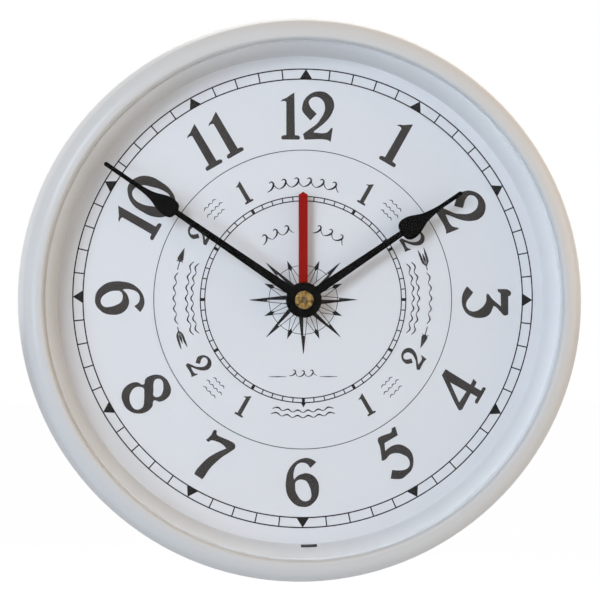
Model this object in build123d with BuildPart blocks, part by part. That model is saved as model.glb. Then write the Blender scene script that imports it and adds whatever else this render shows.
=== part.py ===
from build123d import *
import math
import os

os.makedirs("parts", exist_ok=True)

# A round wall clock in a white moulded case. A long pair of spade hands shows the time, and a short
# straight hand on the same axis shows the state of the tide. One battery movement drives them all.
# Z points up to 12 o'clock, and the dial faces -Y. The origin lies on the hands' axis, in the plane of
# the wall. A height is a distance forward from the wall, so it is minus the Y of the model.

# Case
case_diameter = 190.0
case_widest_height = 15.0
rear_inset = 2.0
rear_bulge_depth = 0.4
case_wall = 2.4
crest_inset = 7.9
crest_round = 5.6
lip_width = 1.3
lip_depth = 2.5
lip_overlap = 1.3
collar_wall = 1.8
seat_clearance = 0.1
hidden_clearance = 0.3

# Front stack, from the lens back to the dial plate
lens_thickness = 1.5
lens_hand_clearance = 1.35
ring_wall = 1.2
ring_land_thickness = 1.2
ring_inset = 4.2
paper_thickness = 0.2
dial_plate_thickness = 1.5
ring_window_width = 5.4
ring_window_offset = 2.1
ring_window_height = 2.0
ring_window_sill = 0.5
ring_window_reach = 4.8

# Back plate and its screws
back_plate_thickness = 2.4
back_plate_margin = 0.4
back_plate_edge_round = 0.7
clamp_skirt_wall = 1.8
skirt_boss_clearance = 0.7
boss_inset = 4.4
boss_radius = 2.8
boss_height = 14.0
boss_count = 4
boss_start_angle = 45.0
rib_count = 12
rib_start_angle = 15.0
rib_thickness = 1.2
rib_height = 5.0
rib_clearance = 8.4
screw_thread_radius = 1.3
screw_head_radius = 2.1
screw_head_height = 1.2
screw_length = 10.0
screw_recess_width = 0.6
screw_recess_depth = 0.7
keyhole_head_radius = 4.5
keyhole_slot_width = 4.2
keyhole_slot_length = 8.0
keyhole_inset = 17.3
keyhole_pocket_clearance = 0.7
keyhole_pocket_wall = 1.4
keyhole_pocket_depth = 5.0

# Movement case
movement_shelf_height = 16.2
movement_wall = 1.4
movement_front_wall = 1.5
movement_corner = 2.5
movement_clearance = 1.0
movement_side_clearance = 0.3
movement_rear_height = 4.5
cover_thickness = 1.5
cover_fit = 0.1
rubber_washer_thickness = 0.8
rubber_washer_radius = 9.0
middle_plate_thickness = 0.8
plate_post_radius = 1.6
plate_post_offset = 3.3
plate_post_upper_height = 13.0
plate_post_lower_height = 11.2
plate_border_width = 1.6
cover_post_radius = 2.0

# Battery, of the AA size, and its bay
battery_radius = 7.1
battery_length = 49.2
battery_nub_radius = 2.7
battery_nub_length = 1.3
battery_clearance = 0.2
battery_edge_chamfer = 0.4
bay_depth_clearance = 0.8
bay_end_clearance = 4.3
bay_side_clearance = 1.0
contact_thickness = 0.3
contact_width = 9.0
contact_bump_radius = 2.0
contact_bend_radius = 0.3
spring_rise_width = 0.6

# Coaxial shafts through the threaded bushing
bushing_radius = 3.7
bushing_flange_radius = 5.6
bushing_flange_thickness = 0.4
shaft_wall = 0.55
shaft_clearance = 0.05
arbor_radius = 1.55
arbor_rear_radius = 0.8
arbor_thread_radius = 1.1

# Hands and what holds them, from the dial forward
dial_washer_radius = 5.3
dial_washer_thickness = 0.4
hex_nut_width = 9.3
hex_nut_thickness = 1.8
bushing_past_nut_height = 0.3
blade_thickness = 0.5
hand_hub_radius = 5.9
collet_radius = 3.7
collet_height = 1.3
collet_foot_height = 0.3
hand_gap = 0.5
hand_nut_radius = 3.05
hand_nut_thickness = 1.6
hand_nut_round = 0.35
arbor_past_nut_height = 0.25
minute_hand_angle = 304.4
hour_hand_angle = 55.9
tide_hand_angle = 0.0
minute_tip_clearance = 1.6
hour_hand_length = 64.2
tide_hand_length = 36.1
tide_hand_width = 3.0
tide_hand_point = 1.0
tide_hub_radius = 4.8
hand_root_width = 3.1
hand_tip_width = 1.45
minute_neck_width = 1.9
minute_head_length = 28.8
minute_bulb_width = 6.3
minute_bulb_height = 3.6
minute_throat_width = 2.6
minute_throat_height = 10.2
minute_needle_length = 12.0
hour_neck_width = 2.0
hour_head_length = 24.6
hour_bulb_width = 7.5
hour_bulb_height = 3.0
hour_throat_width = 2.9
hour_throat_height = 10.3
hour_needle_length = 8.2

# Gear teeth: straight flanks, with shares of the module and of the tooth pitch
tooth_addendum_share = 0.90
tooth_dedendum_share = 1.15
tooth_root_half_share = 0.31
tooth_tip_half_share = 0.12
wheel_thickness = 0.8
pinion_overlap = 0.1
layer_gap = 1.0
flange_gap = 0.2
plate_gap = 0.2
centre_hub_height = 0.5
centre_hub_radius = 1.6
pivot_radius = 0.35
pivot_length = 0.8
pivot_clearance = 0.05
staff_radius = 0.6
stud_radius = 0.7

# Time train: the rotor turns 180 times for one turn of the minute hand, and that 12 times for one
# turn of the hour hand
pinion_teeth = 8
rotor_wheel_teeth = 48
time_second_teeth = 40
centre_wheel_teeth = 48
cannon_teeth = 10
motion_wheel_teeth = 30
motion_pinion_teeth = 8
hour_wheel_teeth = 32
setting_teeth = 12

# Tide train: the rotor turns 216 times for one turn of the tide hand
tide_second_teeth = 48
tide_wheel_teeth = 48

# Distances between the arbors, and the directions from each to the next, in degrees
half_turn = 180.0
rotor_distance = 8.4
first_distance = 9.8
second_distance = 11.2
motion_distance = 9.0
second_direction = 30.0
first_direction = -20.0
rotor_direction = 10.0
motion_direction = -45.0
time_setting_direction = -5.0
tide_setting_direction = 210.0

# Stepping motors
magnet_radius = 2.0
magnet_length = 1.8
stator_stand_height = 3.0
stator_thickness = 1.0
stator_bore_radius = 2.4
stator_bar_width = 7.6
stator_leg_height = 3.0
coil_length = 17.0
coil_radius = 3.0
coil_tube_radius = 1.6
coil_flange_thickness = 0.8
coil_flange_radius = 3.3
coil_offset = 7.8
coil_fit = 0.2
coil_post_clearance = 2.4
core_width = 2.0
core_thickness = 1.0

# Circuit board
board_width = 40.0
board_height = 9.0
board_thickness = 1.0
board_top_clearance = 1.2
board_pad_radius = 1.5
board_pad_inset = 3.0
board_pad_height = 0.8
crystal_radius = 1.0
crystal_length = 6.0
chip_radius = 2.6
chip_height = 1.0
chip_round = 0.8

# Setting knobs
knob_radius = 4.6
knob_flange_width = 0.8
knob_flange_thickness = 0.8
knob_stand_out_height = 2.0
knob_grooves = 18
knob_groove_radius = 0.35
knob_shaft_radius = 1.3
knob_fit = 0.1

# Derived radii of the case, from the outside in
case_radius = case_diameter / 2
case_rear_radius = case_radius - rear_inset
crest_radius = case_radius - crest_inset
lip_radius = crest_radius - lip_width
collar_bore_radius = lip_radius + lip_overlap
seated_radius = collar_bore_radius - seat_clearance
dial_view_radius = lip_radius - ring_inset
back_plate_radius = case_rear_radius - back_plate_margin
boss_circle_radius = case_rear_radius - boss_inset
skirt_radius = boss_circle_radius - boss_radius - skirt_boss_clearance
skirt_bore = skirt_radius - clamp_skirt_wall
keyhole_place = skirt_bore - keyhole_inset
keyhole_pocket_radius = keyhole_head_radius + keyhole_pocket_clearance

# Radii of the coaxial shafts, each inside the next
hour_bore = arbor_radius + shaft_clearance
hour_tube_radius = hour_bore + shaft_wall
tide_bore = hour_tube_radius + shaft_clearance
tide_tube_radius = tide_bore + shaft_wall
bushing_bore = tide_tube_radius + shaft_clearance

# Heights inside the movement, from its rear cover forward to its front wall
cover_inside = movement_rear_height + cover_thickness
stator_rear = cover_inside + stator_stand_height
magnet_rear = stator_rear + stator_thickness / 2 - magnet_length / 2
first_layer = stator_rear + stator_thickness + plate_gap + layer_gap
second_layer = first_layer + wheel_thickness + layer_gap
centre_layer = second_layer + wheel_thickness + layer_gap
plate_layer = centre_layer + wheel_thickness + centre_hub_height
motion_layer = plate_layer + middle_plate_thickness + plate_gap
hour_layer = motion_layer + wheel_thickness + layer_gap - pinion_overlap
tide_layer = hour_layer + wheel_thickness + layer_gap
housing_inside = tide_layer + wheel_thickness + flange_gap + bushing_flange_thickness
housing_front = housing_inside + movement_front_wall

# Heights of the dial stack, the hands and the lens, from the movement forward
plate_rear = housing_front + rubber_washer_thickness
plate_front = plate_rear + dial_plate_thickness
dial_face = plate_front + paper_thickness
hex_nut_rear = dial_face + dial_washer_thickness
bushing_front = hex_nut_rear + hex_nut_thickness + bushing_past_nut_height
tide_blade = bushing_front + hand_gap
tide_collet_front = tide_blade - collet_foot_height + collet_height
hour_blade = tide_collet_front + hand_gap + collet_foot_height
hour_collet_front = hour_blade - collet_foot_height + collet_height
minute_blade = hour_collet_front + hand_gap
hand_nut_rear = minute_blade + blade_thickness
arbor_front = hand_nut_rear + hand_nut_thickness + arbor_past_nut_height
lens_rear = arbor_front + lens_hand_clearance
lens_front = lens_rear + lens_thickness
case_depth = lens_front + lip_depth
minute_hand_length = dial_view_radius - minute_tip_clearance
ring_slope = ring_inset / (lens_front - dial_face)
ring_front_radius = lip_radius - ring_slope * lens_thickness

# Battery bay, below the space for the gears
bay_length = battery_length + battery_nub_length + bay_end_clearance
bay_half_length = bay_length / 2
bay_height = 2 * battery_radius + bay_side_clearance
bay_top = movement_shelf_height + movement_wall / 2
bay_bottom = bay_top + bay_height
bay_front = movement_rear_height + 2 * battery_radius + bay_depth_clearance
battery_place = (bay_top + bay_bottom) / 2
battery_height = bay_front - battery_clearance - battery_radius
knob_flange_radius = knob_radius + knob_flange_width

# Modules, from the distances that the arbors stand apart
rotor_module = 2 * rotor_distance / (pinion_teeth + rotor_wheel_teeth)
time_first_module = 2 * first_distance / (pinion_teeth + time_second_teeth)
tide_first_module = 2 * first_distance / (pinion_teeth + tide_second_teeth)
second_module = 2 * second_distance / (pinion_teeth + centre_wheel_teeth)
motion_module = 2 * motion_distance / (cannon_teeth + motion_wheel_teeth)


def polar(distance, direction):
    """A point of the dial's plane, with its direction counted from +X towards +Z."""
    return (
        distance * math.cos(math.radians(direction)),
        distance * math.sin(math.radians(direction)),
    )


def stepped(start, distance, direction):
    """The point at a distance and direction from another point of the dial's plane."""
    across, up = polar(distance, direction)
    return (start[0] + across, start[1] + up)


def mirrored(direction):
    """A direction seen in a mirror, from the right half of the movement to the left half."""
    return half_turn - direction


def facing(height, place=(0, 0), clock_angle=0):
    """The plane parallel to the wall at a height, whose up direction turns clockwise."""
    turned = math.radians(clock_angle)
    return Plane(
        origin=(place[0], -height, place[1]),
        x_dir=(math.cos(turned), 0, -math.sin(turned)),
        z_dir=(0, -1, 0),
    )


def section():
    """The plane that holds a turned piece's outline, as radius across and height up."""
    return Plane(origin=(0, 0, 0), x_dir=(1, 0, 0), z_dir=(0, 0, -1))


def disc(start, end, radius, place=(0, 0), bore=0, mode=Mode.ADD):
    """A plain round, or a ring with a bore, between two heights of the part being built."""
    with BuildSketch(facing(start, place)) as round_face:
        Circle(radius)
        if bore:
            Circle(bore, mode=Mode.SUBTRACT)
    extrude(round_face.sketch, amount=end - start, mode=mode)


def toothed(start, thickness, teeth, module, turn, place=(0, 0)):
    """A gear's toothed disc, with its first tooth centred on the direction turn."""
    root_radius = module * (teeth / 2 - tooth_dedendum_share)
    tip_radius = module * (teeth / 2 + tooth_addendum_share)
    corner_shares = (
        (root_radius, -tooth_root_half_share),
        (tip_radius, -tooth_tip_half_share),
        (tip_radius, tooth_tip_half_share),
        (root_radius, tooth_root_half_share),
    )
    corners = [
        polar(radius, turn + 2 * half_turn * (tooth + share) / teeth)
        for tooth in range(teeth)
        for radius, share in corner_shares
    ]
    with BuildSketch(facing(start, place)) as toothed_face:
        with BuildLine():
            Polyline(*corners, close=True)
        make_face()
    extrude(toothed_face.sketch, amount=thickness)


def meshed(turn, teeth, partner_teeth, direction):
    """The turn of a gear whose tooth spaces take the teeth of a gear that stands at turn."""
    return direction + half_turn - ((turn - direction) * teeth + half_turn) / partner_teeth


def staff(start, end, place, thickest=staff_radius):
    """A wheel's shaft with a pivot at each end."""
    disc(start, end, thickest, place)
    disc(start - pivot_length, start, pivot_radius, place)
    disc(end, end + pivot_length, pivot_radius, place)


# Places of the arbors. The tide train lies to the right of the hands, the time train to the left.
axis_place = (0, 0)
tide_second_place = stepped(axis_place, second_distance, second_direction)
tide_first_place = stepped(tide_second_place, first_distance, first_direction)
tide_rotor_place = stepped(tide_first_place, rotor_distance, rotor_direction)
time_second_place = stepped(axis_place, second_distance, mirrored(second_direction))
time_first_place = stepped(time_second_place, first_distance, mirrored(first_direction))
time_rotor_place = stepped(time_first_place, rotor_distance, mirrored(rotor_direction))
motion_place = stepped(axis_place, motion_distance, motion_direction)
time_setting_distance = motion_module * (motion_wheel_teeth + setting_teeth) / 2
time_setting_place = stepped(motion_place, time_setting_distance, time_setting_direction)
tide_setting_distance = second_module * (tide_wheel_teeth + setting_teeth) / 2
tide_setting_place = stepped(axis_place, tide_setting_distance, tide_setting_direction)

# The movement is as wide as the trains and the coils beside them need
rotor_reach = tide_rotor_place[0]
rotor_height = tide_rotor_place[1]
coil_place = rotor_reach + coil_offset
cavity_half_width = coil_place + coil_flange_radius + movement_side_clearance
movement_half_width = cavity_half_width + movement_wall
movement_width = 2 * movement_half_width
stator_half_height = coil_length / 2 + coil_flange_thickness + stator_leg_height + coil_fit
coil_top_height = rotor_height + stator_half_height
cavity_top = coil_top_height + coil_post_clearance + 2 * cover_post_radius
movement_top_height = cavity_top + movement_wall
movement_middle = (movement_top_height - movement_shelf_height) / 2
cavity_bottom = movement_shelf_height - movement_wall / 2
cavity_middle = (cavity_top - cavity_bottom) / 2
cavity_height = cavity_top + cavity_bottom

time_rotor_turn = 0.0
time_first_turn = meshed(
    time_rotor_turn, pinion_teeth, rotor_wheel_teeth, mirrored(rotor_direction) + half_turn
)
time_first_pinion_turn = 0.0
time_second_turn = meshed(
    time_first_pinion_turn, pinion_teeth, time_second_teeth, mirrored(first_direction) + half_turn
)
time_second_pinion_turn = 0.0
centre_turn = meshed(
    time_second_pinion_turn, pinion_teeth, centre_wheel_teeth, mirrored(second_direction) + half_turn
)
cannon_turn = 0.0
motion_turn = meshed(cannon_turn, cannon_teeth, motion_wheel_teeth, motion_direction)
motion_pinion_turn = 0.0
hour_turn = meshed(
    motion_pinion_turn, motion_pinion_teeth, hour_wheel_teeth, motion_direction + half_turn
)
time_setting_turn = meshed(
    motion_turn, motion_wheel_teeth, setting_teeth, time_setting_direction
)
tide_rotor_turn = 0.0
tide_first_turn = meshed(
    tide_rotor_turn, pinion_teeth, rotor_wheel_teeth, rotor_direction + half_turn
)
tide_first_pinion_turn = 0.0
tide_second_turn = meshed(
    tide_first_pinion_turn, pinion_teeth, tide_second_teeth, first_direction + half_turn
)
tide_second_pinion_turn = 0.0
tide_turn = meshed(
    tide_second_pinion_turn, pinion_teeth, tide_wheel_teeth, second_direction + half_turn
)
tide_setting_turn = meshed(
    tide_turn, tide_wheel_teeth, setting_teeth, tide_setting_direction
)


# Case shell. The flank is one long arc, tangent to the round of the crest. The lip carries the lens
# from in front, and a collar behind it centres the lens, the inner ring and the dial plate.
crest_reach = case_radius - crest_radius
crest_rise = case_depth - crest_round - case_widest_height
flank_arc = (crest_reach**2 + crest_rise**2 - crest_round**2) / (2 * (crest_reach - crest_round))
flank_centre = (case_radius - flank_arc, case_widest_height)
crest_centre = (crest_radius, case_depth - crest_round)
flank_slope = math.atan2(crest_centre[1] - flank_centre[1], crest_centre[0] - flank_centre[0])
flank_top = (
    crest_centre[0] + crest_round * math.cos(flank_slope),
    crest_centre[1] + crest_round * math.sin(flank_slope),
)
flank_inner_top = (
    flank_centre[0] + (flank_arc - case_wall) * math.cos(flank_slope),
    flank_centre[1] + (flank_arc - case_wall) * math.sin(flank_slope),
)
collar_rear = plate_rear
groove_front = lens_front - case_wall / 2
with BuildPart() as case_shell:
    with BuildSketch(section()):
        with BuildLine():
            rear_flank = ThreePointArc(
                (case_rear_radius, back_plate_thickness),
                (
                    (case_rear_radius + case_radius) / 2 + rear_bulge_depth,
                    (back_plate_thickness + case_widest_height) / 2,
                ),
                (case_radius, case_widest_height),
            )
            front_flank = RadiusArc((case_radius, case_widest_height), flank_top, -flank_arc)
            crest = RadiusArc(flank_top, (crest_radius, case_depth), -crest_round)
            Spline(
                crest @ 1,
                (lip_radius, lens_front),
                tangents=((-1, 0), (-ring_slope, -1)),
            )
            Polyline(
                (lip_radius, lens_front),
                (collar_bore_radius, lens_front),
                (collar_bore_radius, collar_rear),
                (collar_bore_radius + collar_wall, collar_rear),
                (collar_bore_radius + collar_wall, groove_front),
                (flank_inner_top[0], groove_front),
            )
            Line((flank_inner_top[0], groove_front), flank_inner_top)
            RadiusArc(
                flank_inner_top,
                (case_radius - case_wall, case_widest_height),
                flank_arc - case_wall,
            )
            Polyline(
                (case_radius - case_wall, case_widest_height),
                (case_rear_radius - case_wall, back_plate_thickness),
                (case_rear_radius, back_plate_thickness),
            )
        make_face()
    revolve(axis=Axis.Y)
    with BuildSketch(facing(back_plate_thickness)):
        with PolarLocations(boss_circle_radius, boss_count, start_angle=boss_start_angle):
            Circle(boss_radius)
    extrude(amount=boss_height)
    with BuildSketch(facing(back_plate_thickness)):
        with PolarLocations(boss_circle_radius, boss_count, start_angle=boss_start_angle):
            Circle(screw_thread_radius + pivot_clearance)
    extrude(amount=screw_length, mode=Mode.SUBTRACT)
case_shell.part.label = "case_shell"
export_step(case_shell.part, "parts/case_shell.step")

# Lens: a flat clear disc behind the lip
with BuildPart() as lens:
    disc(lens_rear, lens_front, seated_radius)
lens.part.label = "lens"
export_step(lens.part, "parts/lens.step")

# Inner ring: the sloping wall between the lens and the dial, with a foot that lies on the dial and a
# land under the lens. A small window is let into it just beside 6 o'clock.
with BuildPart() as inner_ring:
    with BuildSketch(section()):
        with BuildLine():
            Polyline(
                (dial_view_radius, dial_face),
                (seated_radius, dial_face),
                (seated_radius, dial_face + ring_wall),
                (dial_view_radius + ring_wall + ring_slope * ring_wall, dial_face + ring_wall),
                (
                    ring_front_radius + ring_wall - ring_slope * ring_land_thickness,
                    lens_rear - ring_land_thickness,
                ),
                (seated_radius, lens_rear - ring_land_thickness),
                (seated_radius, lens_rear),
                (ring_front_radius, lens_rear),
                close=True,
            )
        make_face()
    revolve(axis=Axis.Y)
    with BuildSketch(
        facing(dial_face + ring_window_sill, (ring_window_offset, -dial_view_radius))
    ):
        Rectangle(ring_window_width, ring_window_reach)
    extrude(amount=ring_window_height, mode=Mode.SUBTRACT)
inner_ring.part.label = "inner_ring"
export_step(inner_ring.part, "parts/inner_ring.step")

# Dial: a printed paper on a stiff plate
with BuildPart() as dial_paper:
    disc(plate_front, dial_face, seated_radius - hidden_clearance, bore=bushing_radius + seat_clearance)
dial_paper.part.label = "dial_paper"
export_step(dial_paper.part, "parts/dial_paper.step")

with BuildPart() as dial_plate:
    disc(plate_rear, plate_front, seated_radius, bore=bushing_radius + seat_clearance)
dial_plate.part.label = "dial_plate"
export_step(dial_plate.part, "parts/dial_plate.step")

# Back plate: it closes the case, its skirt presses the dial stack forward against the lip, and the
# clock hangs on its keyhole
rib_inner_radius = math.hypot(movement_half_width, movement_top_height) + rib_clearance
with BuildPart() as back_plate:
    disc(0, back_plate_thickness, back_plate_radius)
    fillet(edges().sort_by(Axis.Y)[-1], radius=back_plate_edge_round)
    disc(back_plate_thickness, plate_rear, skirt_radius, bore=skirt_bore)
    with BuildSketch(facing(back_plate_thickness)):
        with PolarLocations((rib_inner_radius + skirt_bore) / 2, rib_count, start_angle=rib_start_angle):
            Rectangle(skirt_bore - rib_inner_radius + clamp_skirt_wall, rib_thickness)
    extrude(amount=rib_height)
    with BuildSketch(facing(back_plate_thickness, (0, keyhole_place))):
        SlotCenterPoint(
            (0, keyhole_slot_length / 2),
            (0, keyhole_slot_length),
            2 * (keyhole_pocket_radius + keyhole_pocket_wall),
        )
    extrude(amount=keyhole_pocket_depth)
    with BuildSketch(facing(back_plate_thickness, (0, keyhole_place))):
        SlotCenterPoint(
            (0, keyhole_slot_length / 2),
            (0, keyhole_slot_length),
            2 * keyhole_pocket_radius,
        )
    extrude(amount=keyhole_pocket_depth - keyhole_pocket_wall, mode=Mode.SUBTRACT)
    disc(0, back_plate_thickness, keyhole_head_radius, (0, keyhole_place), mode=Mode.SUBTRACT)
    with BuildSketch(facing(0, (0, keyhole_place))):
        SlotCenterPoint(
            (0, keyhole_slot_length / 2),
            (0, keyhole_slot_length),
            keyhole_slot_width,
        )
    extrude(amount=back_plate_thickness, mode=Mode.SUBTRACT)
    with BuildSketch(facing(0)):
        with Locations((0, movement_middle)):
            RectangleRounded(
                movement_width + 2 * movement_clearance,
                movement_top_height + movement_shelf_height + 2 * movement_clearance,
                movement_corner,
            )
        with Locations((0, -(bay_bottom + movement_wall) / 2)):
            RectangleRounded(
                bay_length + 2 * movement_wall + 2 * movement_clearance,
                bay_bottom + movement_wall + 2 * movement_clearance,
                movement_corner,
            )
    extrude(amount=back_plate_thickness, mode=Mode.SUBTRACT)
    with BuildSketch(facing(0)):
        with PolarLocations(boss_circle_radius, boss_count, start_angle=boss_start_angle):
            Circle(screw_thread_radius + seat_clearance)
    extrude(amount=back_plate_thickness, mode=Mode.SUBTRACT)
    with BuildSketch(facing(0)):
        with PolarLocations(boss_circle_radius, boss_count, start_angle=boss_start_angle):
            Circle(screw_head_radius + hidden_clearance)
    extrude(amount=screw_head_height + hidden_clearance, mode=Mode.SUBTRACT)
back_plate.part.label = "back_plate"
export_step(back_plate.part, "parts/back_plate.step")

# Four pan head screws, sunk in the back plate, with a cross recess
with BuildPart() as back_plate_screws:
    with BuildSketch(facing(hidden_clearance)):
        with PolarLocations(boss_circle_radius, boss_count, start_angle=boss_start_angle):
            Circle(screw_head_radius)
    extrude(amount=screw_head_height)
    with BuildSketch(facing(hidden_clearance + screw_head_height)):
        with PolarLocations(boss_circle_radius, boss_count, start_angle=boss_start_angle):
            Circle(screw_thread_radius)
    extrude(amount=screw_length)
    with BuildSketch(facing(hidden_clearance)):
        with PolarLocations(boss_circle_radius, boss_count, start_angle=boss_start_angle):
            Rectangle(screw_head_radius, screw_recess_width)
            Rectangle(screw_recess_width, screw_head_radius)
    extrude(amount=screw_recess_depth, mode=Mode.SUBTRACT)
back_plate_screws.part.label = "back_plate_screws"
export_step(back_plate_screws.part, "parts/back_plate_screws.step")


def movement_outline(inset):
    """The movement case's outline: a wide block for the gears over a narrower one for the battery."""
    with Locations((0, movement_middle)):
        RectangleRounded(
            movement_width - 2 * inset,
            movement_top_height + movement_shelf_height - 2 * inset,
            movement_corner,
        )
    with Locations((0, -(bay_bottom + movement_wall) / 2)):
        RectangleRounded(
            bay_length + 2 * movement_wall - 2 * inset,
            bay_bottom + movement_wall - 2 * inset,
            movement_corner / 2,
        )


# Movement housing: an open tray with the battery bay below the gears
plate_post_reach = rotor_reach + plate_post_offset
post_places = [
    (side * plate_post_reach, height)
    for side in (-1, 1)
    for height in (plate_post_upper_height, -plate_post_lower_height)
]
cover_post_places = [
    (side * (cavity_half_width - cover_post_radius), height)
    for side in (-1, 1)
    for height in (cavity_top - cover_post_radius, -cavity_bottom + cover_post_radius)
]
plate_front_height = plate_layer + middle_plate_thickness
with BuildPart() as movement_housing:
    with BuildSketch(facing(movement_rear_height)):
        movement_outline(0)
    extrude(amount=housing_front - movement_rear_height)
    with BuildSketch(facing(movement_rear_height)):
        with Locations((0, cavity_middle)):
            Rectangle(2 * cavity_half_width, cavity_height)
    extrude(amount=housing_inside - movement_rear_height, mode=Mode.SUBTRACT)
    with BuildSketch(facing(movement_rear_height)):
        with Locations((0, -battery_place)):
            Rectangle(bay_length, bay_height)
    extrude(amount=bay_front - movement_rear_height, mode=Mode.SUBTRACT)
    with BuildSketch(facing(plate_front_height)):
        with Locations(*post_places):
            Circle(plate_post_radius)
    extrude(amount=housing_inside - plate_front_height)
    with BuildSketch(facing(cover_inside)):
        with Locations(*cover_post_places):
            Circle(cover_post_radius)
    extrude(amount=housing_inside - cover_inside)
    disc(housing_inside, housing_front, bushing_radius, mode=Mode.SUBTRACT)
    disc(
        housing_inside,
        housing_inside + pivot_length + pivot_clearance,
        pivot_radius + pivot_clearance,
        tide_second_place,
        mode=Mode.SUBTRACT,
    )
movement_housing.part.label = "movement_housing"
export_step(movement_housing.part, "parts/movement_housing.step")

# Rear cover: it closes the gear space, holds the rear pivots and lets the setting knobs through
rear_pivot_places = [
    time_second_place,
    time_first_place,
    time_rotor_place,
    tide_second_place,
    tide_first_place,
    tide_rotor_place,
]
stator_pad_places = [
    (side * rotor_reach, rotor_height + end * (stator_half_height - stator_leg_height / 2))
    for side in (-1, 1)
    for end in (-1, 1)
]
board_middle = cavity_top - board_top_clearance - board_height / 2
board_pad_places = [
    (side * (board_width / 2 - board_pad_inset), board_middle)
    for side in (-1, 1)
]
with BuildPart() as movement_rear_cover:
    with BuildSketch(facing(movement_rear_height)):
        with Locations((0, cavity_middle)):
            Rectangle(2 * (cavity_half_width - cover_fit), cavity_height - 2 * cover_fit)
    extrude(amount=cover_thickness)
    with BuildSketch(facing(cover_inside)):
        with Locations(*stator_pad_places):
            Circle(board_pad_radius)
    extrude(amount=stator_rear - cover_inside)
    with BuildSketch(facing(cover_inside)):
        with Locations(*board_pad_places):
            Circle(board_pad_radius)
    extrude(amount=board_pad_height)
    with BuildSketch(facing(movement_rear_height)):
        with Locations(time_setting_place, tide_setting_place):
            Circle(knob_radius + knob_fit)
    extrude(amount=cover_thickness, mode=Mode.SUBTRACT)
    with BuildSketch(facing(cover_inside)):
        with Locations(*rear_pivot_places):
            Circle(pivot_radius + pivot_clearance)
    extrude(amount=-(pivot_length + pivot_clearance), mode=Mode.SUBTRACT)
    disc(
        cover_inside - pivot_length - pivot_clearance,
        cover_inside,
        arbor_rear_radius + pivot_clearance,
        mode=Mode.SUBTRACT,
    )
movement_rear_cover.part.label = "movement_rear_cover"
export_step(movement_rear_cover.part, "parts/movement_rear_cover.step")

# Middle plate: it stands on the housing's posts, holds the front pivots and carries the stud on
# which the motion wheel turns
front_pivot_places = [
    time_second_place,
    time_first_place,
    time_rotor_place,
    tide_first_place,
    tide_rotor_place,
]
setting_tip_radius = motion_module * (setting_teeth / 2 + tooth_addendum_share)
motion_stud_front = hour_layer + wheel_thickness + plate_gap
with BuildPart() as middle_plate:
    with BuildSketch(facing(plate_layer)):
        with Locations((0, (plate_post_upper_height - plate_post_lower_height) / 2)):
            RectangleRounded(
                2 * (plate_post_reach + plate_border_width),
                plate_post_upper_height + plate_post_lower_height + 2 * plate_border_width,
                plate_post_radius,
            )
        Circle(arbor_radius + shaft_clearance, mode=Mode.SUBTRACT)
        with Locations(*front_pivot_places):
            Circle(pivot_radius + pivot_clearance, mode=Mode.SUBTRACT)
        with Locations(tide_second_place):
            Circle(staff_radius + hidden_clearance, mode=Mode.SUBTRACT)
        with Locations(time_setting_place, tide_setting_place):
            Circle(setting_tip_radius + hidden_clearance, mode=Mode.SUBTRACT)
    extrude(amount=middle_plate_thickness)
    disc(plate_front_height, motion_stud_front, stud_radius, motion_place)
middle_plate.part.label = "middle_plate"
export_step(middle_plate.part, "parts/middle_plate.step")

# Threaded bushing through the housing and the dial, with the washers and nut that clamp the dial
with BuildPart() as threaded_bushing:
    disc(housing_inside, bushing_front, bushing_radius, bore=bushing_bore)
    disc(
        housing_inside - bushing_flange_thickness,
        housing_inside,
        bushing_flange_radius,
        bore=bushing_bore,
    )
threaded_bushing.part.label = "threaded_bushing"
export_step(threaded_bushing.part, "parts/threaded_bushing.step")

with BuildPart() as rubber_washer:
    disc(housing_front, plate_rear, rubber_washer_radius, bore=bushing_radius + seat_clearance)
rubber_washer.part.label = "rubber_washer"
export_step(rubber_washer.part, "parts/rubber_washer.step")

with BuildPart() as dial_washer:
    disc(dial_face, hex_nut_rear, dial_washer_radius, bore=bushing_radius + seat_clearance)
dial_washer.part.label = "dial_washer"
export_step(dial_washer.part, "parts/dial_washer.step")

with BuildPart() as hex_nut:
    with BuildSketch(facing(hex_nut_rear)):
        RegularPolygon(hex_nut_width / 2, 6, major_radius=False)
        Circle(bushing_radius, mode=Mode.SUBTRACT)
    extrude(amount=hex_nut_thickness)
hex_nut.part.label = "hex_nut"
export_step(hex_nut.part, "parts/hex_nut.step")

# Circuit board with its crystal can and the sealed drop over the chip
board_rear = cover_inside + board_pad_height
board_front = board_rear + board_thickness
with BuildPart() as circuit_board:
    with BuildSketch(facing(board_rear)):
        with Locations((0, board_middle)):
            Rectangle(board_width, board_height)
    extrude(amount=board_thickness)
circuit_board.part.label = "circuit_board"
export_step(circuit_board.part, "parts/circuit_board.step")

with BuildPart() as quartz_crystal:
    with BuildSketch(
        Plane(
            origin=(-board_width / 4, -(board_front + crystal_radius), board_middle),
            x_dir=(0, 1, 0),
            z_dir=(1, 0, 0),
        )
    ):
        Circle(crystal_radius)
    extrude(amount=-crystal_length)
quartz_crystal.part.label = "quartz_crystal"
export_step(quartz_crystal.part, "parts/quartz_crystal.step")

with BuildPart() as clock_chip:
    disc(board_front, board_front + chip_height, chip_radius, (0, board_middle))
    fillet(edges().sort_by(Axis.Y)[0], radius=chip_round)
clock_chip.part.label = "clock_chip"
export_step(clock_chip.part, "parts/clock_chip.step")

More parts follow.
